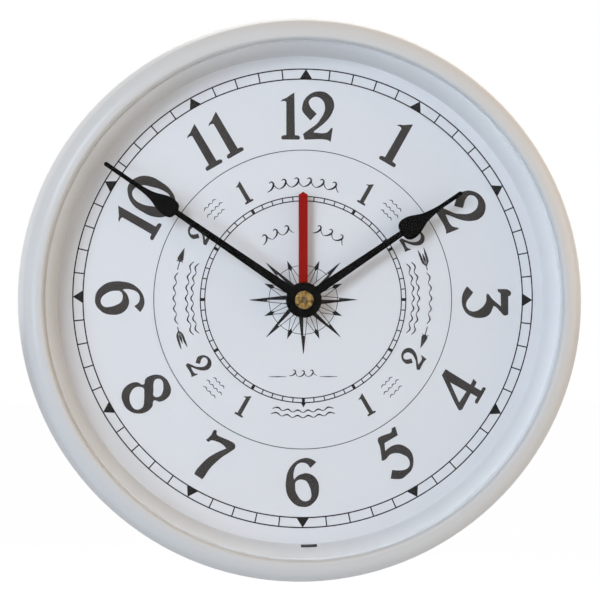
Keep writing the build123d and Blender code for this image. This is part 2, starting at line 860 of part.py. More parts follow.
# Stepping motors, one for each train: a stator plate with a bore for the rotor's magnet, and beside
# it a coil wound on a bobbin, whose core lies across the stator's legs
coil_middle_height = stator_rear + stator_thickness + core_thickness / 2
for side, name in ((-1, "time"), (1, "tide")):
    rotor_across = side * rotor_reach
    coil_across = side * coil_place
    leg_reach = coil_offset + core_width / 2 + hidden_clearance
    with BuildPart() as stator:
        with BuildSketch(facing(stator_rear)):
            with Locations((rotor_across, rotor_height)):
                Rectangle(stator_bar_width, 2 * stator_half_height)
                Circle(stator_bore_radius, mode=Mode.SUBTRACT)
            for end in (-1, 1):
                leg_middle = rotor_height + end * (stator_half_height - stator_leg_height / 2)
                with Locations((rotor_across + side * leg_reach / 2, leg_middle)):
                    Rectangle(leg_reach, stator_leg_height)
        extrude(amount=stator_thickness)
    stator.part.label = name + "_stator"
    export_step(stator.part, "parts/" + name + "_stator.step")

    coil_plane = Plane(
        origin=(coil_across, -coil_middle_height, rotor_height - coil_length / 2),
        x_dir=(1, 0, 0),
        z_dir=(0, 0, 1),
    )
    with BuildPart() as coil_bobbin:
        with BuildSketch(coil_plane):
            Circle(coil_tube_radius)
            Rectangle(core_width, core_thickness, mode=Mode.SUBTRACT)
        extrude(amount=coil_length)
        for start in (-coil_flange_thickness, coil_length):
            with BuildSketch(coil_plane.offset(start)):
                Circle(coil_flange_radius)
                Rectangle(core_width, core_thickness, mode=Mode.SUBTRACT)
            extrude(amount=coil_flange_thickness)
    coil_bobbin.part.label = name + "_coil_bobbin"
    export_step(coil_bobbin.part, "parts/" + name + "_coil_bobbin.step")

    with BuildPart() as coil_winding:
        with BuildSketch(coil_plane):
            Circle(coil_radius)
            Circle(coil_tube_radius, mode=Mode.SUBTRACT)
        extrude(amount=coil_length)
    coil_winding.part.label = name + "_coil_winding"
    export_step(coil_winding.part, "parts/" + name + "_coil_winding.step")

    with BuildPart() as coil_core:
        with BuildSketch(facing(stator_rear + stator_thickness, (coil_across, rotor_height))):
            Rectangle(core_width, 2 * stator_half_height)
        extrude(amount=core_thickness)
    coil_core.part.label = name + "_coil_core"
    export_step(coil_core.part, "parts/" + name + "_coil_core.step")

# Battery and the sheet metal contacts at its ends
battery_axis = Plane(
    origin=(-(battery_length + battery_nub_length) / 2, -battery_height, -battery_place),
    x_dir=(0, 1, 0),
    z_dir=(1, 0, 0),
)
with BuildPart() as battery:
    with BuildSketch(battery_axis):
        Circle(battery_radius)
    extrude(amount=battery_length)
    chamfer(edges().filter_by(GeomType.CIRCLE), length=battery_edge_chamfer)
    with BuildSketch(battery_axis.offset(battery_length)):
        Circle(battery_nub_radius)
    extrude(amount=battery_nub_length)
battery.part.label = "battery"
export_step(battery.part, "parts/battery.step")

battery_end = (battery_length + battery_nub_length) / 2
with BuildPart() as positive_contact:
    with BuildSketch(
        Plane(
            origin=(bay_half_length, -battery_height, -battery_place), x_dir=(0, 1, 0), z_dir=(-1, 0, 0)
        )
    ):
        Rectangle(contact_width, contact_width)
    extrude(amount=contact_thickness)
    with BuildSketch(
        Plane(
            origin=(bay_half_length - contact_thickness, -battery_height, -battery_place),
            x_dir=(0, 1, 0),
            z_dir=(-1, 0, 0),
        )
    ):
        Circle(contact_bump_radius)
    extrude(amount=bay_half_length - contact_thickness - battery_end)
positive_contact.part.label = "positive_contact"
export_step(positive_contact.part, "parts/positive_contact.step")

# The spring contact is one strip, folded back over itself, seen here from above
contact_half = contact_thickness / 2
leaf_reach = battery_height - contact_width / 2
leaf_top = battery_height + contact_width / 2
with BuildPart() as negative_contact:
    with BuildSketch(
        Plane(
            origin=(0, 0, -battery_place - contact_width / 2), x_dir=(1, 0, 0), z_dir=(0, 0, 1)
        )
    ):
        with BuildLine():
            spring_strip = FilletPolyline(
                (-bay_half_length + contact_half, -leaf_reach),
                (-bay_half_length + contact_half, -leaf_top),
                (-battery_end - contact_half - knob_fit, -battery_height),
                (-bay_half_length + contact_thickness + spring_rise_width, -leaf_reach),
                radius=contact_bend_radius,
            )
        trace(line_width=contact_thickness)
    extrude(amount=contact_width)
negative_contact.part.label = "negative_contact"
export_step(negative_contact.part, "parts/negative_contact.step")

# Rotors: a magnet pressed on the shaft of a small pinion
for name, place, turn in (
    ("time", time_rotor_place, time_rotor_turn),
    ("tide", tide_rotor_place, tide_rotor_turn),
):
    with BuildPart() as rotor_magnet:
        disc(magnet_rear, magnet_rear + magnet_length, magnet_radius, place, bore=staff_radius)
    rotor_magnet.part.label = name + "_rotor_magnet"
    export_step(rotor_magnet.part, "parts/" + name + "_rotor_magnet.step")

    with BuildPart() as rotor_pinion:
        toothed(
            first_layer - pinion_overlap,
            wheel_thickness + 2 * pinion_overlap,
            pinion_teeth,
            rotor_module,
            turn,
            place,
        )
        staff(cover_inside + pivot_clearance, plate_layer - pivot_clearance, place)
    rotor_pinion.part.label = name + "_rotor_pinion"
    export_step(rotor_pinion.part, "parts/" + name + "_rotor_pinion.step")


def wheel_with_pinion(
    name, place, layer, teeth, module, turn, pinion_layer, pinion_module, pinion_turn, staff_front
):
    """A moulded wheel and pinion on one staff, as each step of the trains has."""
    with BuildPart() as wheel:
        toothed(layer, wheel_thickness, teeth, module, turn, place)
        toothed(
            pinion_layer - pinion_overlap,
            wheel_thickness + 2 * pinion_overlap,
            pinion_teeth,
            pinion_module,
            pinion_turn,
            place,
        )
        staff(cover_inside + pivot_clearance, staff_front, place)
    wheel.part.label = name
    export_step(wheel.part, "parts/" + name + ".step")


wheel_with_pinion(
    "time_first_wheel",
    time_first_place,
    first_layer,
    rotor_wheel_teeth,
    rotor_module,
    time_first_turn,
    second_layer,
    time_first_module,
    time_first_pinion_turn,
    plate_layer - pivot_clearance,
)
wheel_with_pinion(
    "time_second_wheel",
    time_second_place,
    second_layer,
    time_second_teeth,
    time_first_module,
    time_second_turn,
    centre_layer,
    second_module,
    time_second_pinion_turn,
    plate_layer - pivot_clearance,
)
wheel_with_pinion(
    "tide_first_wheel",
    tide_first_place,
    first_layer,
    rotor_wheel_teeth,
    rotor_module,
    tide_first_turn,
    second_layer,
    tide_first_module,
    tide_first_pinion_turn,
    plate_layer - pivot_clearance,
)
wheel_with_pinion(
    "tide_second_wheel",
    tide_second_place,
    second_layer,
    tide_second_teeth,
    tide_first_module,
    tide_second_turn,
    tide_layer,
    second_module,
    tide_second_pinion_turn,
    housing_inside - pivot_clearance,
)

# Minute arbor, with its cannon pinion, and the centre wheel that drives it through a friction fit
thread_rear = minute_blade - shaft_clearance
with BuildPart() as minute_arbor:
    disc(plate_layer - pivot_clearance, thread_rear, arbor_radius)
    disc(cover_inside + pivot_clearance, plate_layer, arbor_rear_radius)
    disc(cover_inside - pivot_length, cover_inside + pivot_clearance, arbor_rear_radius)
    disc(thread_rear, arbor_front, arbor_thread_radius)
    toothed(
        motion_layer - pinion_overlap,
        wheel_thickness + 2 * pinion_overlap,
        cannon_teeth,
        motion_module,
        cannon_turn,
    )
minute_arbor.part.label = "minute_arbor"
export_step(minute_arbor.part, "parts/minute_arbor.step")

with BuildPart() as centre_wheel:
    toothed(centre_layer, wheel_thickness, centre_wheel_teeth, second_module, centre_turn)
    disc(centre_layer - centre_hub_height, centre_layer, centre_hub_radius)
    disc(
        centre_layer - centre_hub_height,
        centre_layer + wheel_thickness,
        arbor_rear_radius,
        mode=Mode.SUBTRACT,
    )
centre_wheel.part.label = "centre_wheel"
export_step(centre_wheel.part, "parts/centre_wheel.step")

# Motion wheel and pinion, which turn on the middle plate's stud
with BuildPart() as motion_wheel:
    toothed(
        motion_layer, wheel_thickness, motion_wheel_teeth, motion_module, motion_turn, motion_place
    )
    toothed(
        motion_layer,
        hour_layer + wheel_thickness + pinion_overlap - motion_layer,
        motion_pinion_teeth,
        motion_module,
        motion_pinion_turn,
        motion_place,
    )
    disc(
        motion_layer,
        motion_stud_front,
        stud_radius + pivot_clearance,
        motion_place,
        mode=Mode.SUBTRACT,
    )
motion_wheel.part.label = "motion_wheel"
export_step(motion_wheel.part, "parts/motion_wheel.step")

# Hour wheel and tide wheel, each with the long tube that carries its hand
with BuildPart() as hour_wheel:
    toothed(hour_layer, wheel_thickness, hour_wheel_teeth, motion_module, hour_turn)
    disc(hour_layer, hour_collet_front, hour_tube_radius)
    disc(hour_layer, hour_collet_front, hour_bore, mode=Mode.SUBTRACT)
hour_wheel.part.label = "hour_wheel"
export_step(hour_wheel.part, "parts/hour_wheel.step")

with BuildPart() as tide_wheel:
    toothed(tide_layer, wheel_thickness, tide_wheel_teeth, second_module, tide_turn)
    disc(tide_layer, tide_collet_front, tide_tube_radius)
    disc(tide_layer, tide_collet_front, tide_bore, mode=Mode.SUBTRACT)
tide_wheel.part.label = "tide_wheel"
export_step(tide_wheel.part, "parts/tide_wheel.step")

# Setting knobs: a grooved knob behind the cover, a flange that keeps it in, and a pinion in front
knob_rear = movement_rear_height - knob_stand_out_height
flange_rear = cover_inside + pivot_clearance
for name, place, layer, module, turn in (
    ("time_setting_knob", time_setting_place, motion_layer, motion_module, time_setting_turn),
    ("tide_setting_knob", tide_setting_place, tide_layer, second_module, tide_setting_turn),
):
    with BuildPart() as setting_knob:
        disc(knob_rear, flange_rear, knob_radius, place)
        disc(flange_rear, flange_rear + knob_flange_thickness, knob_flange_radius, place)
        disc(flange_rear, layer, knob_shaft_radius, place)
        toothed(layer, wheel_thickness, setting_teeth, module, turn, place)
        with BuildSketch(facing(knob_rear, place)):
            with PolarLocations(knob_radius, knob_grooves):
                Circle(knob_groove_radius)
        extrude(amount=knob_stand_out_height - hidden_clearance, mode=Mode.SUBTRACT)
    setting_knob.part.label = name
    export_step(setting_knob.part, "parts/" + name + ".step")


def spade_outline(
    length,
    neck_width,
    head_length,
    bulb_width,
    bulb_height,
    throat_width,
    throat_height,
    needle_length,
):
    """Half of a spade hand's outline, from the hub to the tip, mirrored about its middle line."""
    shoulder_way = (1, 0.1)
    throat_way = (-0.2, 1)
    needle_way = (-0.03, 1)
    tip_half = hand_tip_width / 2
    neck_place = length - head_length
    bulb_place = neck_place + bulb_height
    flare_end = length - needle_length
    with BuildLine() as hand_edge:
        Line((0, 0), (hand_root_width / 2, 0))
        Line((hand_root_width / 2, 0), (neck_width / 2, neck_place))
        Spline(
            (neck_width / 2, neck_place),
            (bulb_width / 2, bulb_place),
            (throat_width / 2, neck_place + throat_height),
            (tip_half, flare_end),
            tangents=(shoulder_way, (0, 1), throat_way, needle_way),
        )
        Line((tip_half, flare_end), (tip_half, length - tip_half))
        ThreePointArc(
            (tip_half, length - tip_half),
            (tip_half * math.cos(math.pi / 4), length - tip_half + tip_half * math.sin(math.pi / 4)),
            (0, length),
        )
        mirror(about=Plane.YZ)
    make_face(hand_edge.line)


# Minute hand and hour hand: thin black sheet, each with a round hub
with BuildPart() as minute_hand:
    with BuildSketch(facing(minute_blade, clock_angle=minute_hand_angle)):
        spade_outline(
            minute_hand_length,
            minute_neck_width,
            minute_head_length,
            minute_bulb_width,
            minute_bulb_height,
            minute_throat_width,
            minute_throat_height,
            minute_needle_length,
        )
        Circle(hand_hub_radius)
        Circle(arbor_thread_radius, mode=Mode.SUBTRACT)
    extrude(amount=blade_thickness)
minute_hand.part.label = "minute_hand"
export_step(minute_hand.part, "parts/minute_hand.step")

with BuildPart() as hour_hand:
    with BuildSketch(facing(hour_blade, clock_angle=hour_hand_angle)):
        spade_outline(
            hour_hand_length,
            hour_neck_width,
            hour_head_length,
            hour_bulb_width,
            hour_bulb_height,
            hour_throat_width,
            hour_throat_height,
            hour_needle_length,
        )
        Circle(hand_hub_radius)
        Circle(collet_radius, mode=Mode.SUBTRACT)
    extrude(amount=blade_thickness)
hour_hand.part.label = "hour_hand"
export_step(hour_hand.part, "parts/hour_hand.step")

# Tide hand: a straight red baton with a blunt point
with BuildPart() as tide_hand:
    with BuildSketch(facing(tide_blade, clock_angle=tide_hand_angle)):
        with BuildLine():
            Polyline(
                (-tide_hand_width / 2, 0),
                (-tide_hand_width / 2, tide_hand_length - tide_hand_point),
                (0, tide_hand_length),
                (tide_hand_width / 2, tide_hand_length - tide_hand_point),
                (tide_hand_width / 2, 0),
                close=True,
            )
        make_face()
        Circle(tide_hub_radius)
        Circle(collet_radius, mode=Mode.SUBTRACT)
    extrude(amount=blade_thickness)
tide_hand.part.label = "tide_hand"
export_step(tide_hand.part, "parts/tide_hand.step")

# Collets: short turned sleeves that hold the two rear hands on their tubes
for name, blade, bore in (
    ("tide_hand_collet", tide_blade, tide_tube_radius),
    ("hour_hand_collet", hour_blade, hour_tube_radius),
):
    with BuildPart() as collet:
        disc(
            blade - collet_foot_height,
            blade - collet_foot_height + collet_height,
            collet_radius,
            bore=bore,
        )
    collet.part.label = name
    export_step(collet.part, "parts/" + name + ".step")

# Hand nut: a small round brass nut on the arbor's thread
with BuildPart() as hand_nut:
    disc(hand_nut_rear, hand_nut_rear + hand_nut_thickness, hand_nut_radius)
    fillet(edges().sort_by(Axis.Y)[0], radius=hand_nut_round)
    disc(
        hand_nut_rear,
        hand_nut_rear + hand_nut_thickness,
        arbor_thread_radius,
        mode=Mode.SUBTRACT,
    )
hand_nut.part.label = "hand_nut"
export_step(hand_nut.part, "parts/hand_nut.step")
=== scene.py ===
import math

import bmesh
import bpy
from mathutils import Matrix, Vector


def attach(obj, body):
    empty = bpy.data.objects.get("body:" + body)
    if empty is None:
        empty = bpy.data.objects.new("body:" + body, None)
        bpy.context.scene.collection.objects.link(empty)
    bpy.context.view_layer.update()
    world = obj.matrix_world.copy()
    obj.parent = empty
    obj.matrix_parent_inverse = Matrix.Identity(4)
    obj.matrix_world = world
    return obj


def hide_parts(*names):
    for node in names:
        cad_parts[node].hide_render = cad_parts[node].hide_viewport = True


# The bare clock comes first: every moulded, pressed and turned piece of it, already in place on
# its own arbor or fixed in the case.
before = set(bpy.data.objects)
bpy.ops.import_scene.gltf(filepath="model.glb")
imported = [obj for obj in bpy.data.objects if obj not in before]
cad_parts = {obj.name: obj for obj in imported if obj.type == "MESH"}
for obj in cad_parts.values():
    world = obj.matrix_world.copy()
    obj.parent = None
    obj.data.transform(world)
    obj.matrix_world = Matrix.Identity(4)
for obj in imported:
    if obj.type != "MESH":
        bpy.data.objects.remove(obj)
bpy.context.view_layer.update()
millimetre = 0.001


# The camera stands level with the middle of the dial, four and a half degrees to its left and
# 0.8 m away, with a long lens.
camera_distance = 0.8
camera_angle = math.radians(4.5)
aim_across = 0.0013
camera_data = bpy.data.cameras.new("camera")
camera_data.sensor_width = 36
camera_data.lens = 138.8
camera_data.clip_start = 0.01
camera = bpy.data.objects.new("camera", camera_data)
camera.location = (
    -camera_distance * math.sin(camera_angle),
    -camera_distance * math.cos(camera_angle),
    0,
)
camera.rotation_euler = (
    (Vector((aim_across, 0, 0)) - camera.location).to_track_quat("-Z", "Y").to_euler()
)
bpy.context.scene.collection.objects.link(camera)
bpy.context.scene.camera = camera
bpy.context.scene.view_settings.view_transform = "Standard"


# Daylight: two cool windows at the left, a warm glow from the right and a pale one from behind, in
# a bright room that is cool at the lower left and warm at the upper right. The camera, glass and
# gloss see the room as white.
ambient_cool = (0.80, 0.87, 0.98, 1)
ambient_warm = (1.07, 0.86, 0.66, 1)
ambient_warm_way = (0.8, 0, 0.6)
ambient_strength = 0.48


def math_node(tree, operation, *feeds, kind="ShaderNodeMath"):
    """Adds a maths node, fed in order by sockets or plain values, and gives its output."""
    node = tree.nodes.new(kind)
    node.operation = operation
    for place, feed in zip(node.inputs, feeds):
        if isinstance(feed, bpy.types.NodeSocket):
            tree.links.new(feed, place)
        else:
            place.default_value = feed
    return node.outputs[0]


world = bpy.data.worlds.new("room")
world.use_nodes = True
room = world.node_tree
room.nodes.clear()
room_light = room.nodes.new("ShaderNodeBackground")
room_way = room.nodes.new("ShaderNodeTexCoord")
toward_warm = room.nodes.new("ShaderNodeVectorMath")
toward_warm.operation = "DOT_PRODUCT"
toward_warm.inputs[1].default_value = ambient_warm_way
warm_share = room.nodes.new("ShaderNodeMapRange")
warm_share.inputs["From Min"].default_value = -1
warm_share.inputs["From Max"].default_value = 1
room_tone = room.nodes.new("ShaderNodeMix")
room_tone.data_type = "RGBA"
room_tone.inputs[6].default_value = ambient_cool
room_tone.inputs[7].default_value = ambient_warm
room.links.new(room_way.outputs["Generated"], toward_warm.inputs[0])
room.links.new(toward_warm.outputs["Value"], warm_share.inputs["Value"])
room.links.new(warm_share.outputs[0], room_tone.inputs[0])
room.links.new(room_tone.outputs[2], room_light.inputs["Color"])
room_light.inputs["Strength"].default_value = ambient_strength
room_white = room.nodes.new("ShaderNodeBackground")
room_white.inputs["Color"].default_value = (1, 1, 1, 1)
room_white.inputs["Strength"].default_value = 1
room_path = room.nodes.new("ShaderNodeLightPath")
seen_or_glossy = math_node(
    room, "MAXIMUM", room_path.outputs["Is Camera Ray"], room_path.outputs["Is Glossy Ray"]
)
seen_or_through = math_node(
    room, "MAXIMUM", seen_or_glossy, room_path.outputs["Is Transmission Ray"]
)
# after a matte bounce the room is its own colour again
before_matte = math_node(room, "LESS_THAN", room_path.outputs["Diffuse Depth"], 0.5)
seen_first = math_node(room, "MULTIPLY", seen_or_through, before_matte)
room_mix = room.nodes.new("ShaderNodeMixShader")
room_out = room.nodes.new("ShaderNodeOutputWorld")
room.links.new(seen_first, room_mix.inputs["Fac"])
room.links.new(room_light.outputs[0], room_mix.inputs[1])
room.links.new(room_white.outputs[0], room_mix.inputs[2])
room.links.new(room_mix.outputs[0], room_out.inputs["Surface"])
bpy.context.scene.world = world


def window(name, place, across, strength, tone):
    """A square soft light that looks at the middle of the clock and isn't seen itself."""
    data = bpy.data.lights.new(name, "AREA")
    data.shape = "SQUARE"
    data.size = across
    data.energy = strength
    data.color = tone
    lamp = bpy.data.objects.new(name, data)
    lamp.location = place
    lamp.rotation_euler = (-Vector(place)).to_track_quat("-Z", "Y").to_euler()
    lamp.visible_camera = False
    bpy.context.scene.collection.objects.link(lamp)


# each lamp: where it hangs, how wide it is, its strength in watts and its colour
for lamp_name, place, across, strength, tone in (
    ("window_light", (-0.85, -1.25, 0.6), 0.5, 5.6, (0.74, 0.86, 1.0)),
    ("low_window", (-1.0, -1.0, -0.08), 0.3, 2.2, (0.64, 0.81, 1.0)),
    ("warm_glow", (1.35, -0.5, 0.3), 1.0, 4.4, (1.0, 0.80, 0.58)),
    ("back_glow", (0.5, 1.5, 0.6), 1.4, 4.6, (1.0, 0.99, 0.97)),
):
    window(lamp_name, place, across, strength, tone)


# The floor is a plain pale sheet well below the clock. It is white to the camera, and takes a soft
# shadow.
floor_height = -0.3
floor_reach = 6.0
floor_shade = (0.78, 0.88, 1.0, 1)
floor_brightness = 1.1
floor_white_share = 0.85
floor_mesh = bmesh.new()
bmesh.ops.create_grid(
    floor_mesh,
    x_segments=1,
    y_segments=1,
    size=floor_reach,
    matrix=Matrix.Translation((0, 0, floor_height)),
)
floor_data = bpy.data.meshes.new("floor")
floor_mesh.to_mesh(floor_data)
floor_mesh.free()
floor = bpy.data.objects.new("floor", floor_data)
bpy.context.scene.collection.objects.link(floor)
floor_finish = bpy.data.materials.new("pale floor")
floor_finish.use_nodes = True
floor_nodes = floor_finish.node_tree.nodes
floor_links = floor_finish.node_tree.links
floor_nodes.clear()
floor_matte = floor_nodes.new("ShaderNodeBsdfDiffuse")
floor_matte.inputs["Color"].default_value = floor_shade
floor_glow = floor_nodes.new("ShaderNodeEmission")
floor_glow.inputs["Color"].default_value = (1, 1, 1, 1)
floor_glow.inputs["Strength"].default_value = floor_brightness
floor_path = floor_nodes.new("ShaderNodeLightPath")
floor_share = math_node(
    floor_finish.node_tree,
    "MULTIPLY",
    floor_path.outputs["Is Camera Ray"],
    floor_white_share,
)
floor_mix = floor_nodes.new("ShaderNodeMixShader")
floor_out = floor_nodes.new("ShaderNodeOutputMaterial")
floor_links.new(floor_share, floor_mix.inputs["Fac"])
floor_links.new(floor_matte.outputs[0], floor_mix.inputs[1])
floor_links.new(floor_glow.outputs[0], floor_mix.inputs[2])
floor_links.new(floor_mix.outputs[0], floor_out.inputs["Surface"])
floor.data.materials.append(floor_finish)


# The case is one moulding in glossy white plastic, and the sloping ring inside its lip is a second
# one in the same white, which is set darker here as painted shade. A moulding has a barely waved
# skin, and its tone drifts a little.
case_white = (0.8, 0.8, 0.79, 1)
skin_roughness_drift = 0.06


def drift_group():
    """Slow drift of tone and gloss with a fine grain, as every moulded or painted skin has."""
    group = bpy.data.node_groups.new("skin drift", "ShaderNodeTree")
    face = group.interface
    tone_in = face.new_socket("Tone", in_out="INPUT", socket_type="NodeSocketColor")
    tone_in.default_value = (0.8, 0.8, 0.8, 1)
    for label, value in (
        ("Tone Drift", 0.04),
        ("Roughness", 0.4),
        ("Roughness Drift", 0.05),
        ("Patch Scale", 40.0),
        ("Grain Scale", 900.0),
    ):
        socket = face.new_socket(label, in_out="INPUT", socket_type="NodeSocketFloat")
        socket.default_value = value
    face.new_socket("Tone", in_out="OUTPUT", socket_type="NodeSocketColor")
    face.new_socket("Roughness", in_out="OUTPUT", socket_type="NodeSocketFloat")
    face.new_socket("Height", in_out="OUTPUT", socket_type="NodeSocketFloat")
    nodes = group.nodes
    links = group.links
    given = nodes.new("NodeGroupInput")
    result = nodes.new("NodeGroupOutput")
    place = nodes.new("ShaderNodeTexCoord")
    patches = nodes.new("ShaderNodeTexNoise")
    patches.inputs["Detail"].default_value = 3
    grain = nodes.new("ShaderNodeTexNoise")
    grain.inputs["Detail"].default_value = 2
    links.new(place.outputs["Object"], patches.inputs["Vector"])
    links.new(place.outputs["Object"], grain.inputs["Vector"])
    links.new(given.outputs["Patch Scale"], patches.inputs["Scale"])
    links.new(given.outputs["Grain Scale"], grain.inputs["Scale"])
    # tone: the given colour, made lighter or darker by the drift
    from_middle = math_node(group, "SUBTRACT", patches.outputs["Fac"], 0.5)
    tone_swing = math_node(group, "MULTIPLY_ADD", from_middle, given.outputs["Tone Drift"], 1)
    shade = nodes.new("ShaderNodeVectorMath")
    shade.operation = "SCALE"
    links.new(given.outputs["Tone"], shade.inputs[0])
    links.new(tone_swing, shade.inputs["Scale"])
    links.new(shade.outputs["Vector"], result.inputs["Tone"])
    # gloss: the given roughness with its own drift
    rough_swing = math_node(
        group,
        "MULTIPLY_ADD",
        from_middle,
        given.outputs["Roughness Drift"],
        given.outputs["Roughness"],
    )
    links.new(rough_swing, result.inputs["Roughness"])
    links.new(grain.outputs["Fac"], result.inputs["Height"])
    return group


skin_drift = drift_group()


def skin(
    name,
    tone,
    roughness,
    tone_drift=0.04,
    patch_scale=40,
    grain_scale=900,
    grain_height=0.01,
    metallic=0.0,
    specular=0.5,
):
    """A moulded, painted or plated finish: the shader with the drift and grain on it."""
    finish = bpy.data.materials.new(name)
    finish.use_nodes = True
    nodes = finish.node_tree.nodes
    links = finish.node_tree.links
    shader = nodes["Principled BSDF"]
    drift = nodes.new("ShaderNodeGroup")
    drift.node_tree = skin_drift
    drift.inputs["Tone"].default_value = tone
    drift.inputs["Tone Drift"].default_value = tone_drift
    drift.inputs["Roughness"].default_value = roughness
    drift.inputs["Roughness Drift"].default_value = skin_roughness_drift
    drift.inputs["Patch Scale"].default_value = patch_scale
    drift.inputs["Grain Scale"].default_value = grain_scale
    relief = nodes.new("ShaderNodeBump")
    relief.inputs["Strength"].default_value = 1
    relief.inputs["Distance"].default_value = grain_height * millimetre
    links.new(drift.outputs["Tone"], shader.inputs["Base Color"])
    links.new(drift.outputs["Roughness"], shader.inputs["Roughness"])
    links.new(drift.outputs["Height"], relief.inputs["Height"])
    links.new(relief.outputs["Normal"], shader.inputs["Normal"])
    shader.inputs["Metallic"].default_value = metallic
    shader.inputs["Specular IOR Level"].default_value = specular
    return finish


def finish_node(node, finish):
    """Gives a node of the bare clock its finish."""
    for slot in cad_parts[node].material_slots:
        slot.material = finish


case_finish = skin(
    "glossy white moulding",
    case_white,
    roughness=0.3,
    tone_drift=0.02,
    patch_scale=25,
    grain_scale=260,
    grain_height=0.006,
)


def tint_box(finish, middle, half, tone):
    """Gives a finish another tone inside a box, in millimetres."""
    tree = finish.node_tree
    nodes = tree.nodes
    links = tree.links
    shader = nodes["Principled BSDF"]
    plain = shader.inputs["Base Color"].links[0].from_socket
    place = nodes.new("ShaderNodeTexCoord")
    # how far each axis lies past the box's faces: all three below zero is inside
    vector = "ShaderNodeVectorMath"
    centre = [side * millimetre for side in middle]
    reach = [side * millimetre for side in half]
    offset = math_node(tree, "SUBTRACT", place.outputs["Object"], centre, kind=vector)
    spread = math_node(tree, "ABSOLUTE", offset, kind=vector)
    beyond = math_node(tree, "SUBTRACT", spread, reach, kind=vector)
    split = nodes.new("ShaderNodeSeparateXYZ")
    links.new(beyond, split.inputs[0])
    widest = math_node(tree, "MAXIMUM", split.outputs["X"], split.outputs["Y"])
    farthest = math_node(tree, "MAXIMUM", widest, split.outputs["Z"])
    inside = math_node(tree, "LESS_THAN", farthest, 0)
    mixed = nodes.new("ShaderNodeMix")
    mixed.data_type = "RGBA"
    mixed.inputs[7].default_value = tone
    links.new(inside, mixed.inputs[0])
    links.new(plain, mixed.inputs[6])
    links.new(mixed.outputs[2], shader.inputs["Base Color"])


def lighten_forward(finish, start, end, share):
    """Makes a finish lighter by a share between two heights above the wall, in millimetres."""
    nodes = finish.node_tree.nodes
    links = finish.node_tree.links
    shader = nodes["Principled BSDF"]
    plain = shader.inputs["Base Color"].links[0].from_socket
    place = nodes.new("ShaderNodeTexCoord")
    split = nodes.new("ShaderNodeSeparateXYZ")
    rise = nodes.new("ShaderNodeMapRange")
    rise.inputs["From Min"].default_value = -start * millimetre
    rise.inputs["From Max"].default_value = -end * millimetre
    rise.inputs["To Min"].default_value = 1
    rise.inputs["To Max"].default_value = 1 + share
    lighter = nodes.new("ShaderNodeVectorMath")
    lighter.operation = "SCALE"
    links.new(place.outputs["Object"], split.inputs[0])
    links.new(split.outputs["Y"], rise.inputs["Value"])
    links.new(plain, lighter.inputs[0])
    links.new(rise.outputs[0], lighter.inputs["Scale"])
    links.new(lighter.outputs["Vector"], shader.inputs["Base Color"])


# painted shade: the slot by 6 o'clock is painted dark inside, on the case and the ring, where it
# looks into the shaded case; painted light: the ring's seat under the lens is painted bright where
# the lip's shadow falls
slot_middle = (2.1, -27.5, -84.8)
slot_half = (2.71, 1.02, 3.2)
slot_painted_shade = (0.06, 0.06, 0.065, 1)
seat_middle = (0, -36.0, 0)
seat_half = (90, 0.05, 90)
seat_painted_light = (0.95, 0.95, 0.95, 1)
# painted shade: the ring is made lighter toward the lip and left darker low by the dial, where
# less light reaches its wall
ring_painted_shade_start = 28.0
ring_painted_shade_end = 35.0
ring_painted_light_gain = 0.2
# painted shade: the ring's white is set darker than the case's, for the shade on its sunk wall
ring_white_painted_shade = (0.695, 0.69, 0.685, 1)
ring_finish = skin(
    "white ring moulding with painted shade",
    ring_white_painted_shade,
    roughness=0.3,
    tone_drift=0.02,
    patch_scale=25,
    grain_scale=260,
    grain_height=0.006,
)
# painted light and shade: darker by the dial, lighter toward the lip
lighten_forward(ring_finish, ring_painted_shade_start, ring_painted_shade_end, ring_painted_light_gain)
# painted shade inside the slot, on both mouldings
for finish in (case_finish, ring_finish):
    tint_box(finish, slot_middle, slot_half, slot_painted_shade)
# painted light: the ring's seat is painted near white, against the shadow of the lip over it
tint_box(ring_finish, seat_middle, seat_half, seat_painted_light)
finish_node("case_shell", case_finish)
finish_node("inner_ring", ring_finish)


# The lens is a flat disc of clear acrylic with a fine arris, clamped behind the lip. It stands a
# fiftieth of a millimetre clear of the ring and the lip, as a loosely clamped sheet does.
lens_radius = 86.95
lens_rear = 36.02
lens_front = 37.48
lens_arris = 0.15
pane = bmesh.new()
bmesh.ops.create_circle(pane, cap_ends=True, segments=240, radius=lens_radius)
bmesh.ops.translate(pane, verts=pane.verts, vec=(0, 0, lens_rear))
raised = bmesh.ops.extrude_face_region(pane, geom=pane.faces[:])
bmesh.ops.translate(
    pane,
    verts=[item for item in raised["geom"] if isinstance(item, bmesh.types.BMVert)],
    vec=(0, 0, lens_front - lens_rear),
)
bmesh.ops.recalc_face_normals(pane, faces=pane.faces)
bmesh.ops.bevel(
    pane,
    geom=[edge for edge in pane.edges if edge.verts[0].co.z == edge.verts[1].co.z],
    offset=lens_arris,
    segments=1,
    profile=0.5,
    affect="EDGES",
    material=-1,
)
faces_front = Matrix.Rotation(math.pi / 2, 4, "X")
bmesh.ops.transform(
    pane, matrix=faces_front @ Matrix.Scale(millimetre, 4), verts=pane.verts
)
pane_data = bpy.data.meshes.new("clear_lens")
pane.to_mesh(pane_data)
pane.free()
clear_lens = bpy.data.objects.new("clear_lens", pane_data)
bpy.context.scene.collection.objects.link(clear_lens)
lens_finish = bpy.data.materials.new("clear acrylic")
lens_finish.use_nodes = True
lens_nodes = lens_finish.node_tree.nodes
lens_links = lens_finish.node_tree.links
lens_shader = lens_nodes["Principled BSDF"]
lens_shader.inputs["Base Color"].default_value = (0.995, 1.0, 1.0, 1)
lens_shader.inputs["Roughness"].default_value = 0
lens_shader.inputs["IOR"].default_value = 1.1
lens_shader.inputs["Transmission Weight"].default_value = 1
lens_path = lens_nodes.new("ShaderNodeLightPath")
lens_clear = lens_nodes.new("ShaderNodeBsdfTransparent")
